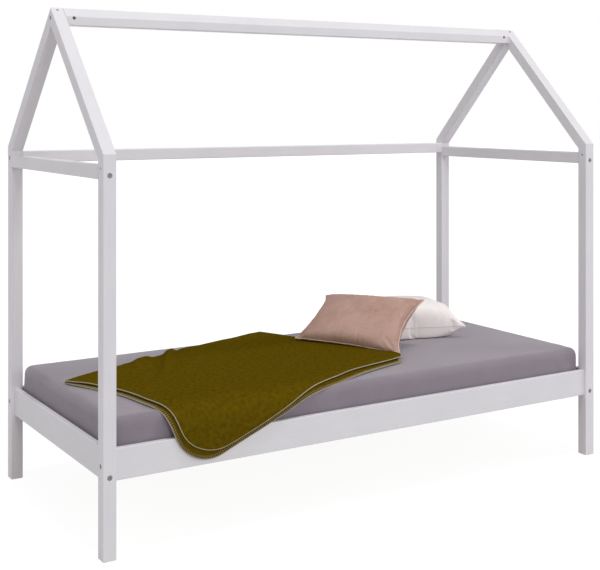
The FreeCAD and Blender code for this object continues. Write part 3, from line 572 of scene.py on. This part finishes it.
def makeCore(spec):
    """The foam block inside the sheet."""
    inset = spec["coreInset"] + spec["inside"]
    low, high = spec["base"] + inset, spec["top"] - inset
    build = bmesh.new()
    bmesh.ops.create_cube(build, size=1)
    for vert in build.verts:
        x, y = (c * 2 * (h - inset) for c, h in zip(vert.co, spec["half"]))
        vert.co = (x, y, low + (vert.co.z + 0.5) * (high - low))

    def level(edge):
        return abs(edge.verts[0].co.z - edge.verts[1].co.z) < 1e-6

    def sharp(edge):
        sides = [face.normal for face in edge.link_faces]
        return len(sides) == 2 and abs(sides[0].dot(sides[1])) < 0.5

    def bevel(edges, radius, parts):
        bmesh.ops.bevel(build, geom=edges, offset=radius - inset, segments=parts, affect="EDGES", profile=0.5)

    bevel([edge for edge in build.edges if not level(edge)], spec["corner"], spec["foamParts"][0])
    bevel([edge for edge in build.edges if level(edge) and sharp(edge)], spec["edge"], spec["foamParts"][1])
    return fromBmesh("mattressFoam", build, foamRubber())


fittedSheet = makeFittedSheet(mattressSpec)
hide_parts("fitted_sheet")
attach(fittedSheet, "mattress")
mattressFoam = makeCore(mattressSpec)
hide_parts("mattress_core")
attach(mattressFoam, "mattress")
print("stage: mattress and fitted sheet made")


# throw, folded once along its back edge and laid askew, one corner over the rail
throwSpec = {
    "foldStart": (-0.96, 0.063),
    "foldTurn": 22.0,
    "alongFold": (-0.066, 1.068),  # flat cut, measured from the fold's left end
    "reach": 0.745,  # from the fold to the lower hem
    # how much longer each layer lies than it was cut, at places along the fold
    "lowerLong": ((0.38, 0.0), (0.62, 0.022), (0.75, 0.019), (1.05, 0.03)),
    "upperLong": ((-0.06, -0.025), (0.1, -0.017), (0.6, -0.014), (0.71, -0.024), (1.02, 0.002)),
    # slides along the fold: how far, over what depths from it, over what lengths of it
    "gather": (0.061, (0.22, 0.55), (0.0, 0.5)),  # the left end; makes the creases
    "headSlant": (0.012, (0.6, 1.06)),  # the hem's head end
    "lowerHeadBack": (0.045, (0.4, 0.74), (0.85, 1.06)),  # the lower layer's right corner
    "upperBack": (0.022, (0.0, 0.1), (-0.06, 0.35)),  # the upper layer's left edge
    "cornerRound": (0.125, 0.055),  # foot end, head end
    "thickness": 0.0034,
    "clear": 0.0006,
    "roll": 0.0036,  # half the distance between the two layers
    "step": 0.0075,
    # how high the fold's roll stands at places along it
    "foldHeight": (
        (-0.06, 0.0), (0.15, 0.003), (0.3, 0.001), (0.47, 0.002), (0.6, 0.006), (0.72, 0.004),
        (0.81, 0.003), (0.9, 0.001), (1.0, 0.002), (1.06, 0.0),
    ),
    "foldReach": 0.11,
    # ridges that the gathering pushes up: where from, where to, height, half width
    "rucks": (
        ((-0.68, 0.225), (-0.7, 0.01), 0.003, 0.026),
        ((-0.59, 0.272), (-0.71, -0.02), 0.0115, 0.033),
        ((-0.446, 0.326), (-0.704, -0.19), 0.0135, 0.019),
        ((-0.365, 0.365), (-0.59, -0.12), 0.002, 0.03),
    ),
    "ruckFade": (0.4, 1.0),  # shares of its length over which a ridge runs out
    "lowerShare": 0.75,  # of the creases that the lower layer takes part in
    # unevenness: height, waves to the metre, seed; it is less at the hems
    "waves": ((0.0022, 5.2, 1.7), (0.003, 2.3, 7.3)),
    "hemShare": 0.35,
    "hemBand": (0.06, 0.05),
    "air": (0.0022, 7, 3.1),  # between the layers
    "leastAir": 0.0012,
}

# the soft path of thick wool from the mattress's top, over its edge and down past the rail: (y, z)
drapeSpec = {
    "leave": (-0.35, 0.4256),
    "leaveHandle": (-0.456, 0.4272),
    "hangHandle": (-0.475, 0.413),
    "hang": (-0.475, 0.315),
    "swing": 0.085,  # metres out for each metre of fall below the rail's edge
    "swingFrom": 0.05,  # how far below that edge the swing is full
    "falls": (0.008, 0.16, 20),  # first, last, how many
    "parts": 48,
}


def drapePath(spec):
    """The run along the path, and for each step of it the place (y, z) and the outward normal."""
    t = np.linspace(0, 1, spec["parts"] + 1)[:, None]
    a, b, c, d = (np.array(spec[k]) for k in ("leave", "leaveHandle", "hangHandle", "hang"))
    curve = a * (1 - t) ** 3 + 3 * b * t * (1 - t) ** 2 + 3 * c * t * t * (1 - t) + d * t ** 3
    fall = np.linspace(*spec["falls"])[:, None]
    hang = d + np.hstack([-spec["swing"] * fall * np.minimum(fall / spec["swingFrom"], 1), -fall])
    path = np.vstack([curve, hang])
    steps = np.gradient(path, axis=0)
    steps /= np.linalg.norm(steps, axis=1)[:, None]
    run = np.concatenate([[0], np.cumsum(np.linalg.norm(np.diff(path, axis=0), axis=1))])
    return run, (path[:, 0], path[:, 1], steps[:, 1], -steps[:, 0])


drapeRun, drapeRows = drapePath(drapeSpec)


def drapePlace(x, y, height):
    """Where cloth at flat place (x, y) goes, at a height above the mattress or the rail."""
    start, top = drapeSpec["leave"]
    if y >= start:
        return Vector((x, y, top + height))
    placeY, placeZ, outY, outZ = (float(np.interp(start - y, drapeRun, row)) for row in drapeRows)
    return Vector((x, placeY + outY * height, placeZ + outZ * height))


def roundCorners(u, v, spec):
    """Moves a point of the rectangular cut so that the cut's corners are round."""
    low, high = spec["alongFold"]
    reach = spec["reach"]
    left = u < (low + high) / 2
    radius = spec["cornerRound"][0 if left else 1]
    overU = max((low + radius - u) if left else (u - high + radius), 0) / radius
    overV = max(abs(v) - reach + radius, 0) / radius
    if overU <= 0 or overV <= 0:
        return u, v
    roundU, roundV = overU * math.sqrt(1 - overV ** 2 / 2), overV * math.sqrt(1 - overU ** 2 / 2)
    u = low + radius - roundU * radius if left else high - radius + roundU * radius
    return u, math.copysign(reach - radius + roundV * radius, v)


def ruckHeight(place, spec):
    """The height of the ridges at a place: full at their far end, run out at their near end."""
    total = 0.0
    for start, end, height, width in spec["rucks"]:
        share, side = besideLine(place, start, end)
        side /= width
        if side < 2:
            total += height * math.exp(-side ** 4) * (1 - smoothStep(*spec["ruckFade"], share))
    return total


def slideAlong(u, v, inner, spec):
    """How far a point of the cut slides along the fold."""
    far, depths, lengths = spec["gather"]
    slide = far * (1 - smoothStep(*depths, inner)) * (1 - smoothStep(*lengths, u))
    far, lengths = spec["headSlant"]
    slide -= far * inner / spec["reach"] * smoothStep(*lengths, u)
    if v < 0:
        far, depths, lengths = spec["lowerHeadBack"]
        slide -= far * smoothStep(*lengths, u) * smoothStep(*depths, inner)
    if v > 0:
        far, depths, lengths = spec["upperBack"]
        slide += far * smoothStep(*depths, inner) * (1 - smoothStep(*lengths, u))
    return slide


def unevenness(place, height, perMetre, seed):
    return height * (0.5 + 0.5 * noiseIn(place.x * perMetre, place.y * perMetre, seed))


def throwRise(u, v, inner, place, spec):
    """How far the wool stands above its flat layer: creases, waves and the air between the layers."""
    crease = alongTable(spec["foldHeight"], u) * math.exp(-(inner / spec["foldReach"]) ** 2)
    crease += ruckHeight(place, spec)
    bandU, bandV = spec["hemBand"]
    middle = smoothStep(0.0, bandU, u - spec["alongFold"][0]) * smoothStep(0.0, bandV, spec["reach"] - abs(v))
    waves = sum(unevenness(place, *wave) for wave in spec["waves"])
    rise = crease * (spec["lowerShare"] if v < 0 else 1.0)
    rise += waves * (spec["hemShare"] + (1 - spec["hemShare"]) * middle)
    if v > 0:
        rise += unevenness(place, *spec["air"]) * middle + spec["leastAir"]
    return rise


def throwPlace(u, v, spec):
    """The place in the room of a point of the flat cut: v below 0 is the lower layer."""
    roll = spec["roll"]
    away = abs(v) - math.pi / 2 * roll
    if away < 0:
        depth, layer = -roll * math.cos(v / roll), roll + roll * math.sin(v / roll)
    else:
        depth, layer = away, (2 * roll if v > 0 else 0.0)
        depth *= 1 + alongTable(spec["upperLong" if v > 0 else "lowerLong"], u) / spec["reach"]
    inner = max(depth, 0.0)
    turn = math.radians(spec["foldTurn"])
    alongFold = Vector((math.cos(turn), math.sin(turn)))
    acrossFold = Vector((math.sin(turn), -math.cos(turn)))
    place = Vector(spec["foldStart"]) + alongFold * (u + slideAlong(u, v, inner, spec)) + acrossFold * depth
    lowest = spec["clear"] + spec["thickness"] / 2
    return drapePlace(place.x, place.y, lowest + layer + throwRise(u, v, inner, place, spec))


def makeThrow(spec):
    """The throw, and its edge: the points round it and the cloth's normals there."""
    low, high = spec["alongFold"]
    reach, step = spec["reach"], spec["step"]
    countU, countV = round((high - low) / step), round(2 * reach / step)
    points, flat = [], []
    for row in range(countV + 1):
        for column in range(countU + 1):
            u, v = low + (high - low) * column / countU, -reach + 2 * reach * row / countV
            flat.append(roundCorners(u, v, spec))
            points.append(throwPlace(*flat[-1], spec))
    faces = gridFaces(countV + 1, countU + 1)
    throw = meshObject("foldedThrow", points, faces, wovenCloth("brushedWool"), flat)
    rim = [row * (countU + 1) + column for row, column in ringOf(countV, countU)]
    edge = [points[i] for i in rim], [tuple(throw.data.vertices[i].normal) for i in rim]
    return thicken(throw, spec["thickness"], 0), edge


# yarn round the throw's whole edge: a thread along it, and legs on the face that is folded inwards
stitchSpec = {
    "edgeYarn": 0.0021,
    "spacing": 0.0078,
    "yarn": 0.0008,
    "depth": 0.0105,
    "slant": 0.0022,
    "face": 0.002,
}


def newGroup(name, numbers):
    """A geometry node group for an edge and some numbers, with its inputs and the edge as a curve."""
    tree = bpy.data.node_groups.new(name, "GeometryNodeTree")
    face = tree.interface
    face.new_socket("Geometry", in_out="INPUT", socket_type="NodeSocketGeometry")
    for word, number in numbers.items():
        face.new_socket(word, in_out="INPUT", socket_type="NodeSocketFloat").default_value = number
    face.new_socket("Geometry", in_out="OUTPUT", socket_type="NodeSocketGeometry")
    given = addNode(tree, "NodeGroupInput").outputs
    return tree, given, outOf(tree, "Curve", "GeometryNodeMeshToCurve", {"Mesh": given["Geometry"]})


def tubeAlong(tree, path, radius, sides, **more):
    inputs = {"Resolution": sides, "Radius": radius}
    ring = outOf(tree, "Curve", "GeometryNodeCurvePrimitiveCircle", inputs)
    return outOf(tree, "Mesh", "GeometryNodeCurveToMesh", {"Curve": path, "Profile Curve": ring, **more})


def giveOut(tree, shape, material):
    """Makes the shape the group's result: real, smooth and dressed."""
    for kind in ("RealizeInstances", "SetShadeSmooth"):
        shape = outOf(tree, "Geometry", "GeometryNode" + kind, {"Geometry": shape})
    inputs = {"Geometry": shape, "Material": material}
    dressed = outOf(tree, "Geometry", "GeometryNodeSetMaterial", inputs)
    addNode(tree, "NodeGroupOutput", {"Geometry": dressed})


def blanketStitch(spec, material):
    """Geometry nodes: a thread along an edge, and legs of yarn at even steps, square to it."""
    tree, given, path = newGroup("blanketStitch", spec)

    def times(name, factor):
        return maths(tree, "MULTIPLY", given[name], factor)

    inputs = {"Curve": path, "Length": given["spacing"]}
    even = outOf(tree, "Curve", "GeometryNodeResampleCurve", inputs, mode="LENGTH")
    named = "GeometryNodeInputNamedAttribute"
    up = outOf(tree, "Attribute", named, {"Name": "clothNormal"}, data_type="FLOAT_VECTOR")
    align = "FunctionNodeAlignRotationToVector"
    tangent = outOf(tree, "Tangent", "GeometryNodeInputTangent")
    along = outOf(tree, "Rotation", align, {"Vector": tangent}, axis="X")
    square = outOf(tree, "Rotation", align, {"Rotation": along, "Vector": up}, axis="Z", pivot_axis="X")
    corners = {
        "Start": {"Y": times("edgeYarn", 0.7), "Z": times("face", 0.3)},
        "Start Handle": {"Y": times("edgeYarn", 0.6), "Z": times("face", 1.7)},
        "End Handle": {"X": times("slant", 0.5), "Y": times("depth", -0.5), "Z": times("face", 1.5)},
        "End": {"X": given["slant"], "Y": times("depth", -1.0), "Z": times("face", 0.8)},
    }
    ends = {word: outOf(tree, 0, "ShaderNodeCombineXYZ", parts) for word, parts in corners.items()}
    segment = "GeometryNodeCurvePrimitiveBezierSegment"
    leg = outOf(tree, "Curve", segment, {"Resolution": 6, **ends}, mode="POSITION")
    tube = tubeAlong(tree, leg, given["yarn"], 5, **{"Fill Caps": True})
    inputs = {"Points": even, "Instance": tube, "Rotation": square}
    legs = outOf(tree, "Instances", "GeometryNodeInstanceOnPoints", inputs)
    joined = addNode(tree, "GeometryNodeJoinGeometry")
    for shape in (legs, tubeAlong(tree, path, given["edgeYarn"], 8)):
        feed(tree, joined, {"Geometry": shape})
    giveOut(tree, joined.outputs["Geometry"], material)
    return tree


def sewAlong(name, points, tree, numbers, normals=None):
    """Sews a stitch or a cord along a closed run of points, some with the cloth's normals."""
    mesh = bpy.data.meshes.new(name)
    count = len(points)
    mesh.from_pydata([tuple(p) for p in points], [(i, (i + 1) % count) for i in range(count)], [])
    if normals is not None:
        kept = mesh.attributes.new("clothNormal", "FLOAT_VECTOR", "POINT")
        kept.data.foreach_set("vector", np.asarray(normals, np.float32).ravel())
    thing = newObject(name, mesh)
    sewn = thing.modifiers.new("sewn", "NODES")
    sewn.node_group = tree
    for item in tree.interface.items_tree:
        if item.in_out == "INPUT" and item.name in numbers:
            sewn[item.identifier] = float(numbers[item.name])
    thing.update_tag()
    return applyModifiers(thing)


foldedThrow, (edgePoints, edgeNormals) = makeThrow(throwSpec)
stitchTree = blanketStitch(stitchSpec, spunYarn("beigeYarn", ("#8f8468", "#aea282")))
throwStitches = sewAlong("throwStitches", edgePoints, stitchTree, stitchSpec, edgeNormals)
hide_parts("throw_blanket")
for piece in (foldedThrow, throwStitches):
    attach(piece, "throw")
print("stage: throw laid,", len(foldedThrow.data.polygons), "faces, and stitched")


# cushions: two panels sewn round the edge and blown up by cloth simulation
cushionSpecs = {
    "squareCushion": {
        "node": "cushion_square", "slot": "cushion_cream", "fill": 0.75, "cloth": "creamCotton",
        "flat": (0.44, 0.415), "cells": 0.0065, "pressure": 7.0, "bending": 0.6, "blownTo": 0.077,
        "size": (0.418, 0.392), "crown": 0.098, "under": 0.066, "cornerReach": 0.12,
        "fullness": 0.44,  # below 1 the panels rise more steeply from the seam
        "drawIn": (0.01, 0.012),  # how far the middles of the short and the long sides are pulled in
        "pucker": 0.0036, "puckerStep": 0.045, "puckerReach": 0.05, "cornerFold": 0.003,
        "place": (0.578, 0.182, 0.4716), "turn": -12.0, "lean": 0.0, "twist": 0.0, "floor": 0.4258,
        # the cord's yarn colours: darker than the cream cloth, painted shade of the groove along the seam
        "cord": 0.0012, "cordPaintedLightColour": ("#cfc4c1", "#ddd3d0"),
        # single creases on the flat panel: from the seam, to where they run out, depth, half width
        "creases": (
            ((0.212, -0.2), (0.1, -0.05), 0.008, 0.014), ((0.205, -0.203), (0.04, -0.12), 0.007, 0.012),
            ((0.216, -0.16), (0.12, -0.01), 0.005, 0.013), ((0.12, -0.206), (0.06, -0.08), 0.006, 0.013),
            ((0.02, -0.206), (0.0, -0.1), 0.005, 0.012),
        ),
    },
    "longCushion": {
        "node": "cushion_long", "slot": "cushion_pink", "fill": 0.5, "cloth": "dustyLinen",
        "flat": (0.5, 0.3), "cells": 0.0055, "pressure": 6.0, "bending": 0.4, "blownTo": 0.046,
        "size": (0.476, 0.29), "crown": 0.052, "under": 0.046, "cornerReach": 0.03,
        "fullness": 0.85,
        "drawIn": (0.034, -0.005),
        "pucker": 0.005, "puckerStep": 0.036, "puckerReach": 0.055, "cornerFold": 0.004,
        "place": (0.2775, 0.063, 0.5212), "turn": -63.0, "lean": 34.8, "twist": 5.5, "floor": 0.44,
        # the cord's yarn colours: lighter than the linen, a painted highlight on the seam's rim
        "cord": 0.0025, "cordPaintedLightColour": ("#d6b1a1", "#e6c6b6"),
        "creases": (
            ((-0.04, -0.148), (-0.03, -0.1), 0.0045, 0.006), ((0.046, -0.148), (0.052, -0.075), 0.007, 0.006),
            ((0.12, -0.148), (0.108, -0.1), 0.0035, 0.007), ((0.24, -0.138), (0.16, -0.08), 0.006, 0.009),
            ((0.205, -0.148), (0.15, -0.108), 0.0045, 0.007), ((0.24, 0.12), (0.17, 0.085), 0.004, 0.009),
            ((-0.24, -0.14), (-0.175, -0.108), 0.0045, 0.009),
            ((-0.11, -0.148), (-0.105, -0.115), 0.003, 0.006),
        ),
    },
}


# what both cushions share, in metres unless said
seamSpec = {
    "panelGap": (0.002, 0.02),  # of the flat panels: at the rim, and more in the middle
    "puckerWander": (0.25, 20, 30),  # how far, waves to the metre along the seam and away from it
    "puckerWidth": 0.13,
    "puckerStrength": (0.35, 0.9, 1.7),  # least, how much more, how many puckers apart
    "puckerBand": 0.01,  # over which they rise from the seam
    "cornerFolds": (8, 0.055, 0.012),  # waves in a turn, reach, the band over which they rise
    "creaseShoulder": 0.45,
    "creaseEnds": ((-0.2, 0.15), (0.35, 1.0)),  # shares of a crease where it comes and goes
    "cornerPinch": 0.4,
    "softFloor": 0.004,
    "pushReach": 0.08,
    "pushClear": 0.0006,
}


def sewnPanels(name, spec):
    """Two flat panels that share their rim, a hair apart in the middle, and the rim's points."""
    length, width = spec["flat"]
    countX, countY = round(length / spec["cells"]), round(width / spec["cells"])
    nearRim, inMiddle = seamSpec["panelGap"]
    points, flat, sides, index = [], [], [], {}

    def key(i, j, side):
        return (i, j, 0 if i in (0, countX) or j in (0, countY) else side)

    for side in (1, -1):
        for i in range(countX + 1):
            for j in range(countY + 1):
                place = key(i, j, side)
                if place in index:
                    continue
                x, y = (i / countX - 0.5) * length, (j / countY - 0.5) * width
                swell = (1 - (2 * x / length) ** 2) * (1 - (2 * y / width) ** 2)
                index[place] = len(points)
                points.append(Vector((x, y, place[2] * (nearRim + inMiddle * swell))))
                flat.append((x, y))
                sides.append(place[2])
    faces = []
    for side in (1, -1):
        for i in range(countX):
            for j in range(countY):
                ring = [index[key(*c, side)] for c in ((i, j), (i + 1, j), (i + 1, j + 1), (i, j + 1))]
                faces.append(ring if side > 0 else ring[::-1])
    rim = [index[key(i, j, 1)] for i, j in ringOf(countX, countY)]
    thing = meshObject(name, points, faces, wovenCloth(spec["cloth"]), flat)
    return thing, np.array(flat), np.array(sides), rim


def pointsOf(mesh):
    co = np.zeros(len(mesh.vertices) * 3, np.float32)
    mesh.vertices.foreach_get("co", co)
    return co.reshape(-1, 3).astype(float)


# how the simulated panels behave, for both cushions
blowSettings = {
    "quality": 7,
    "mass": 0.25,
    "tension_stiffness": 30,
    "compression_stiffness": 12,
    "shear_stiffness": 8,
    "tension_damping": 8,
    "compression_damping": 8,
    "air_damping": 2,
    "use_pressure": True,
}
blowFrames = 60


def blowUp(thing, spec):
    """Cloth pressure until the cushion is as thick as wanted."""
    cloth = thing.modifiers.new("blowUp", "CLOTH")
    for word, value in blowSettings.items():
        setattr(cloth.settings, word, value)
    cloth.settings.bending_stiffness = spec["bending"]
    cloth.settings.uniform_pressure_force = spec["pressure"]
    cloth.settings.effector_weights.gravity = 0
    cloth.collision_settings.use_collision = False
    cloth.collision_settings.use_self_collision = False
    cloth.point_cache.frame_start = 1
    cloth.point_cache.frame_end = blowFrames
    for number in range(1, blowFrames + 1):
        scene.frame_set(number)
        blown = pointsOf(thing.evaluated_get(bpy.context.evaluated_depsgraph_get()).data)
        if blown[:, 2].max() > spec["blownTo"]:
            break
    applyModifiers(thing)
    scene.frame_set(1)
    print("stage:", thing.name, "blown up in", number, "frames")
    return blown


def creaseDepth(place, creases):
    """Sharp valleys with low shoulders that start at the seam and run out on the panel."""
    total = 0.0
    comes, goes = seamSpec["creaseEnds"]
    for start, end, depth, width in creases:
        share, side = besideLine(place, start, end)
        side /= width
        if side < 5 and comes[0] < share < goes[1]:
            profile = math.exp(-side * side) - seamSpec["creaseShoulder"] * math.exp(-(side / 2) ** 2)
            total -= depth * profile * (1 - smoothStep(*goes, share)) * smoothStep(*comes, share)
    return total


def seamPucker(gap, along, seed, spec):
    """How deep the small creases square to a seam are, at a gap from it and a place along it."""
    step, reach = spec["puckerStep"], spec["puckerReach"]
    if gap > 2.2 * reach or gap <= 0:
        return 0.0
    far, alongWaves, inWaves = seamSpec["puckerWander"]
    wander = far * noiseIn(along * alongWaves, gap * inWaves, seed)
    crossing = noiseIn(along / step + wander, 0.0, seed * 3.7) / seamSpec["puckerWidth"]
    least, more, spacing = seamSpec["puckerStrength"]
    strength = least + more * max(noiseIn(along / (spacing * step), 5.0, seed), 0)
    fade = math.exp(-(gap / reach) ** 1.5) * min(gap / seamSpec["puckerBand"], 1)
    return spec["pucker"] * strength * math.exp(-crossing ** 2) * fade


def cornerFold(inX, inY, spec):
    """How high the folds that run into a corner stand."""
    near = math.hypot(inX, inY)
    turn = math.atan2(inY, inX) - math.pi / 4
    waves, reach, band = seamSpec["cornerFolds"]
    return spec["cornerFold"] * math.cos(waves * turn) * math.exp(-(near / reach) ** 2) * min(near / band, 1)


def puckers(flat, spec):
    """How far the cloth stands in or out: creases square to the seam, folds into the corners."""
    halfX, halfY = (side / 2 for side in spec["flat"])
    out = np.zeros(len(flat))
    for number, (x, y) in enumerate(flat):
        inX, inY = halfX - abs(x), halfY - abs(y)
        out[number] = cornerFold(inX, inY, spec) + creaseDepth((x, y), spec["creases"])
        out[number] -= seamPucker(inX, y, 3.0 + math.copysign(1, x), spec)
        out[number] -= seamPucker(inY, x, 9.0 + math.copysign(1, y), spec)
    return out


def cushionForm(blown, flat, sides, spec):
    """The blown-up form at the cushion's real size, with its own height above and below the seam."""
    co = blown.copy()
    size = np.array(spec["size"])
    co[:, :2] *= size / np.ptp(co[:, :2], axis=0)
    across = np.clip(2 * co[:, :2] / size, -1, 1)
    pull = np.array(spec["drawIn"])
    co[:, 0] -= pull[0] * across[:, 0] ** 3 * (1 - across[:, 1] ** 2)
    co[:, 1] -= pull[1] * across[:, 1] ** 3 * (1 - across[:, 0] ** 2)
    toCorner = np.hypot(*(np.array(spec["flat"]) / 2 - abs(flat)).T)
    least = seamSpec["cornerPinch"]
    pinch = least + (1 - least) * np.minimum(toCorner / spec["cornerReach"], 1) ** 1.5
    for side, height in ((1, spec["crown"]), (-1, spec["under"])):
        there = sides == side
        level = np.clip(side * co[there, 2] / (side * co[there, 2]).max(), 0, 1)
        co[there, 2] = side * height * level ** spec["fullness"] * pinch[there]
    co[:, 2] += sides * puckers(flat, spec)
    return co


def poseCushion(co, spec):
    """Leans the cushion back, turns it and lays it down, flat where it would go under the floor."""
    lean = np.radians(spec["lean"] + spec["twist"] * co[:, 0] / (spec["size"][0] / 2))
    y = co[:, 1] * np.cos(lean) - co[:, 2] * np.sin(lean)
    z = co[:, 1] * np.sin(lean) + co[:, 2] * np.cos(lean)
    turn = math.radians(spec["turn"])
    placed = np.stack([co[:, 0] * math.cos(turn) - y * math.sin(turn),
                       co[:, 0] * math.sin(turn) + y * math.cos(turn), z], axis=1) + np.array(spec["place"])
    floor, soft = spec["floor"], seamSpec["softFloor"]
    placed[:, 2] = floor + soft * np.logaddexp(0, (placed[:, 2] - floor) / soft)
    return placed


def makeCushion(name):
    spec = cushionSpecs[name]
    thing, flat, sides, rim = sewnPanels(name, spec)
    blown = blowUp(thing, spec)
    co = poseCushion(cushionForm(blown, flat, sides, spec), spec)
    thing.data.vertices.foreach_set("co", np.asarray(co, np.float32).ravel())
    thing.data.update()
    return thing, rim


def pushOutOf(thing, other):
    """Dents one soft piece where it would run into another."""
    clear = seamSpec["pushClear"]
    tree = BVHTree.FromPolygons([v.co.copy() for v in other.data.vertices],
                                [tuple(p.vertices) for p in other.data.polygons])
    for vert in thing.data.vertices:
        near, normal, _face, _gap = tree.find_nearest(vert.co, seamSpec["pushReach"])
        if near is not None and (vert.co - near).dot(normal) < clear:
            vert.co = near + normal * clear
    thing.data.update()


def makeWelt(name, cushion, rim, spec):
    """The seam's round cord, laid on the finished cushion's edge by geometry nodes; its yarn is darker than
    the cream cushion's cloth, painted shade of the groove along that seam, and lighter than the pink
    cushion's linen, a painted highlight on that seam's rim.
    """
    numbers = {"radius": spec["cord"]}
    tree, given, path = newGroup("weltCord", numbers)
    cord = tubeAlong(tree, path, given["radius"], 8)
    # the cord colours carry painted light: shade in the cream seam's groove, a highlight on the pink seam's
    # rim
    giveOut(tree, cord, spunYarn(name + "Yarn", spec["cordPaintedLightColour"]))
    return sewAlong(name, [cushion.data.vertices[i].co for i in rim], tree, numbers)


cushions = {name: makeCushion(name) for name in cushionSpecs}
for _ in range(2):
    pushOutOf(cushions["squareCushion"][0], cushions["longCushion"][0])
for name, (cushion, rim) in cushions.items():
    spec = cushionSpecs[name]
    cushion.modifiers.new("finer", "SUBSURF").levels = 1
    applyModifiers(cushion)
    welt = makeWelt(name + "Welt", cushion, rim, spec)
    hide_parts(spec["node"])
    for piece in (cushion, welt):
        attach(piece, spec["node"])
print("stage: cushions made")


# floor, world and lamps
stageSpec = {
    "floorHalf": 30.0,
    "floorWhite": "#dcdbdd",
    "floorGlow": 1.16,
    "shadowShare": 0.2,
    "shadowReach": (1.6, 3.2),  # metres from the bed's middle over which the shadow fades out
    "world": 0.43,
    "lamps": (
        # place, aim, size, watts
        ((-2.0, -18.0, 8.6), (0.0, 0.0, 0.6), 5.0, 740.0),
        ((8.0, -5.5, 4.6), (0.0, 0.0, 0.7), 5.0, 160.0),
        ((0.5, -2.5, 14.0), (0.0, 0.0, 0.4), 2.0, 500.0),
        ((-26.0, -5.2, 18.5), (0.0, 0.0, 0.9), 12.0, 1020.0),
    ),
}


def cameraOnly(tree):
    """1 where a ray comes from the camera, a mirror image or clear glass; 0 for light that is bounced."""
    ray = addNode(tree, "ShaderNodeLightPath").outputs
    seen = maths(tree, "MAXIMUM", ray["Is Camera Ray"], ray["Is Glossy Ray"])
    return maths(tree, "MAXIMUM", seen, ray["Is Transmission Ray"])


def emptyTree(owner):
    owner.use_nodes = True
    owner.node_tree.nodes.clear()
    return owner.node_tree


def whiteFloor(spec):
    """Studio paper: matt white that keeps a faint shadow round the bed and runs into the white world."""
    material = bpy.data.materials.new("whiteFloor")
    tree = emptyTree(material)
    matt = outOf(tree, 0, "ShaderNodeBsdfDiffuse", {"Color": hexColour(spec["floorWhite"])})
    glow = outOf(tree, 0, "ShaderNodeEmission", {"Color": (1, 1, 1, 1), "Strength": spec["floorGlow"]})
    away = outOf(tree, "Value", "ShaderNodeVectorMath", {0: objectPlace(tree)}, operation="LENGTH")
    near, far = spec["shadowReach"]
    inputs = {"Value": away, "From Min": near, "From Max": far, "To Min": 1 - spec["shadowShare"]}
    fade = outOf(tree, "Result", "ShaderNodeMapRange", inputs, interpolation_type="SMOOTHSTEP")
    share = maths(tree, "MULTIPLY", cameraOnly(tree), fade)
    mix = outOf(tree, 0, "ShaderNodeMixShader", {0: share, 1: matt, 2: glow})
    addNode(tree, "ShaderNodeOutputMaterial", {"Surface": mix})
    return material


def makeWorld(strength):
    scene.world = bpy.data.worlds.new("studio")
    tree = emptyTree(scene.world)
    soft, white = (outOf(tree, 0, "ShaderNodeBackground", {"Color": (1, 1, 1, 1), "Strength": glow})
                   for glow in (strength, 1.0))
    mix = outOf(tree, 0, "ShaderNodeMixShader", {0: cameraOnly(tree), 1: soft, 2: white})
    addNode(tree, "ShaderNodeOutputWorld", {"Surface": mix})


def makeLamp(name, place, aim, size, watts):
    data = bpy.data.lights.new(name, "AREA")
    data.shape = "DISK"
    data.size = size
    data.energy = watts
    lamp = newObject(name, data)
    lamp.location = place
    lamp.rotation_euler = (Vector(aim) - Vector(place)).to_track_quat("-Z", "Y").to_euler()


def makeStage(spec):
    far = spec["floorHalf"]
    points = [(-far, -far, 0), (far, -far, 0), (far, far, 0), (-far, far, 0)]
    meshObject("studioFloor", points, [(0, 1, 2, 3)], whiteFloor(spec))
    makeWorld(spec["world"])
    for number, lamp in enumerate(spec["lamps"]):
        makeLamp("softbox%d" % number, *lamp)
    scene.view_settings.view_transform = "Standard"


makeStage(stageSpec)

print("stage: done")
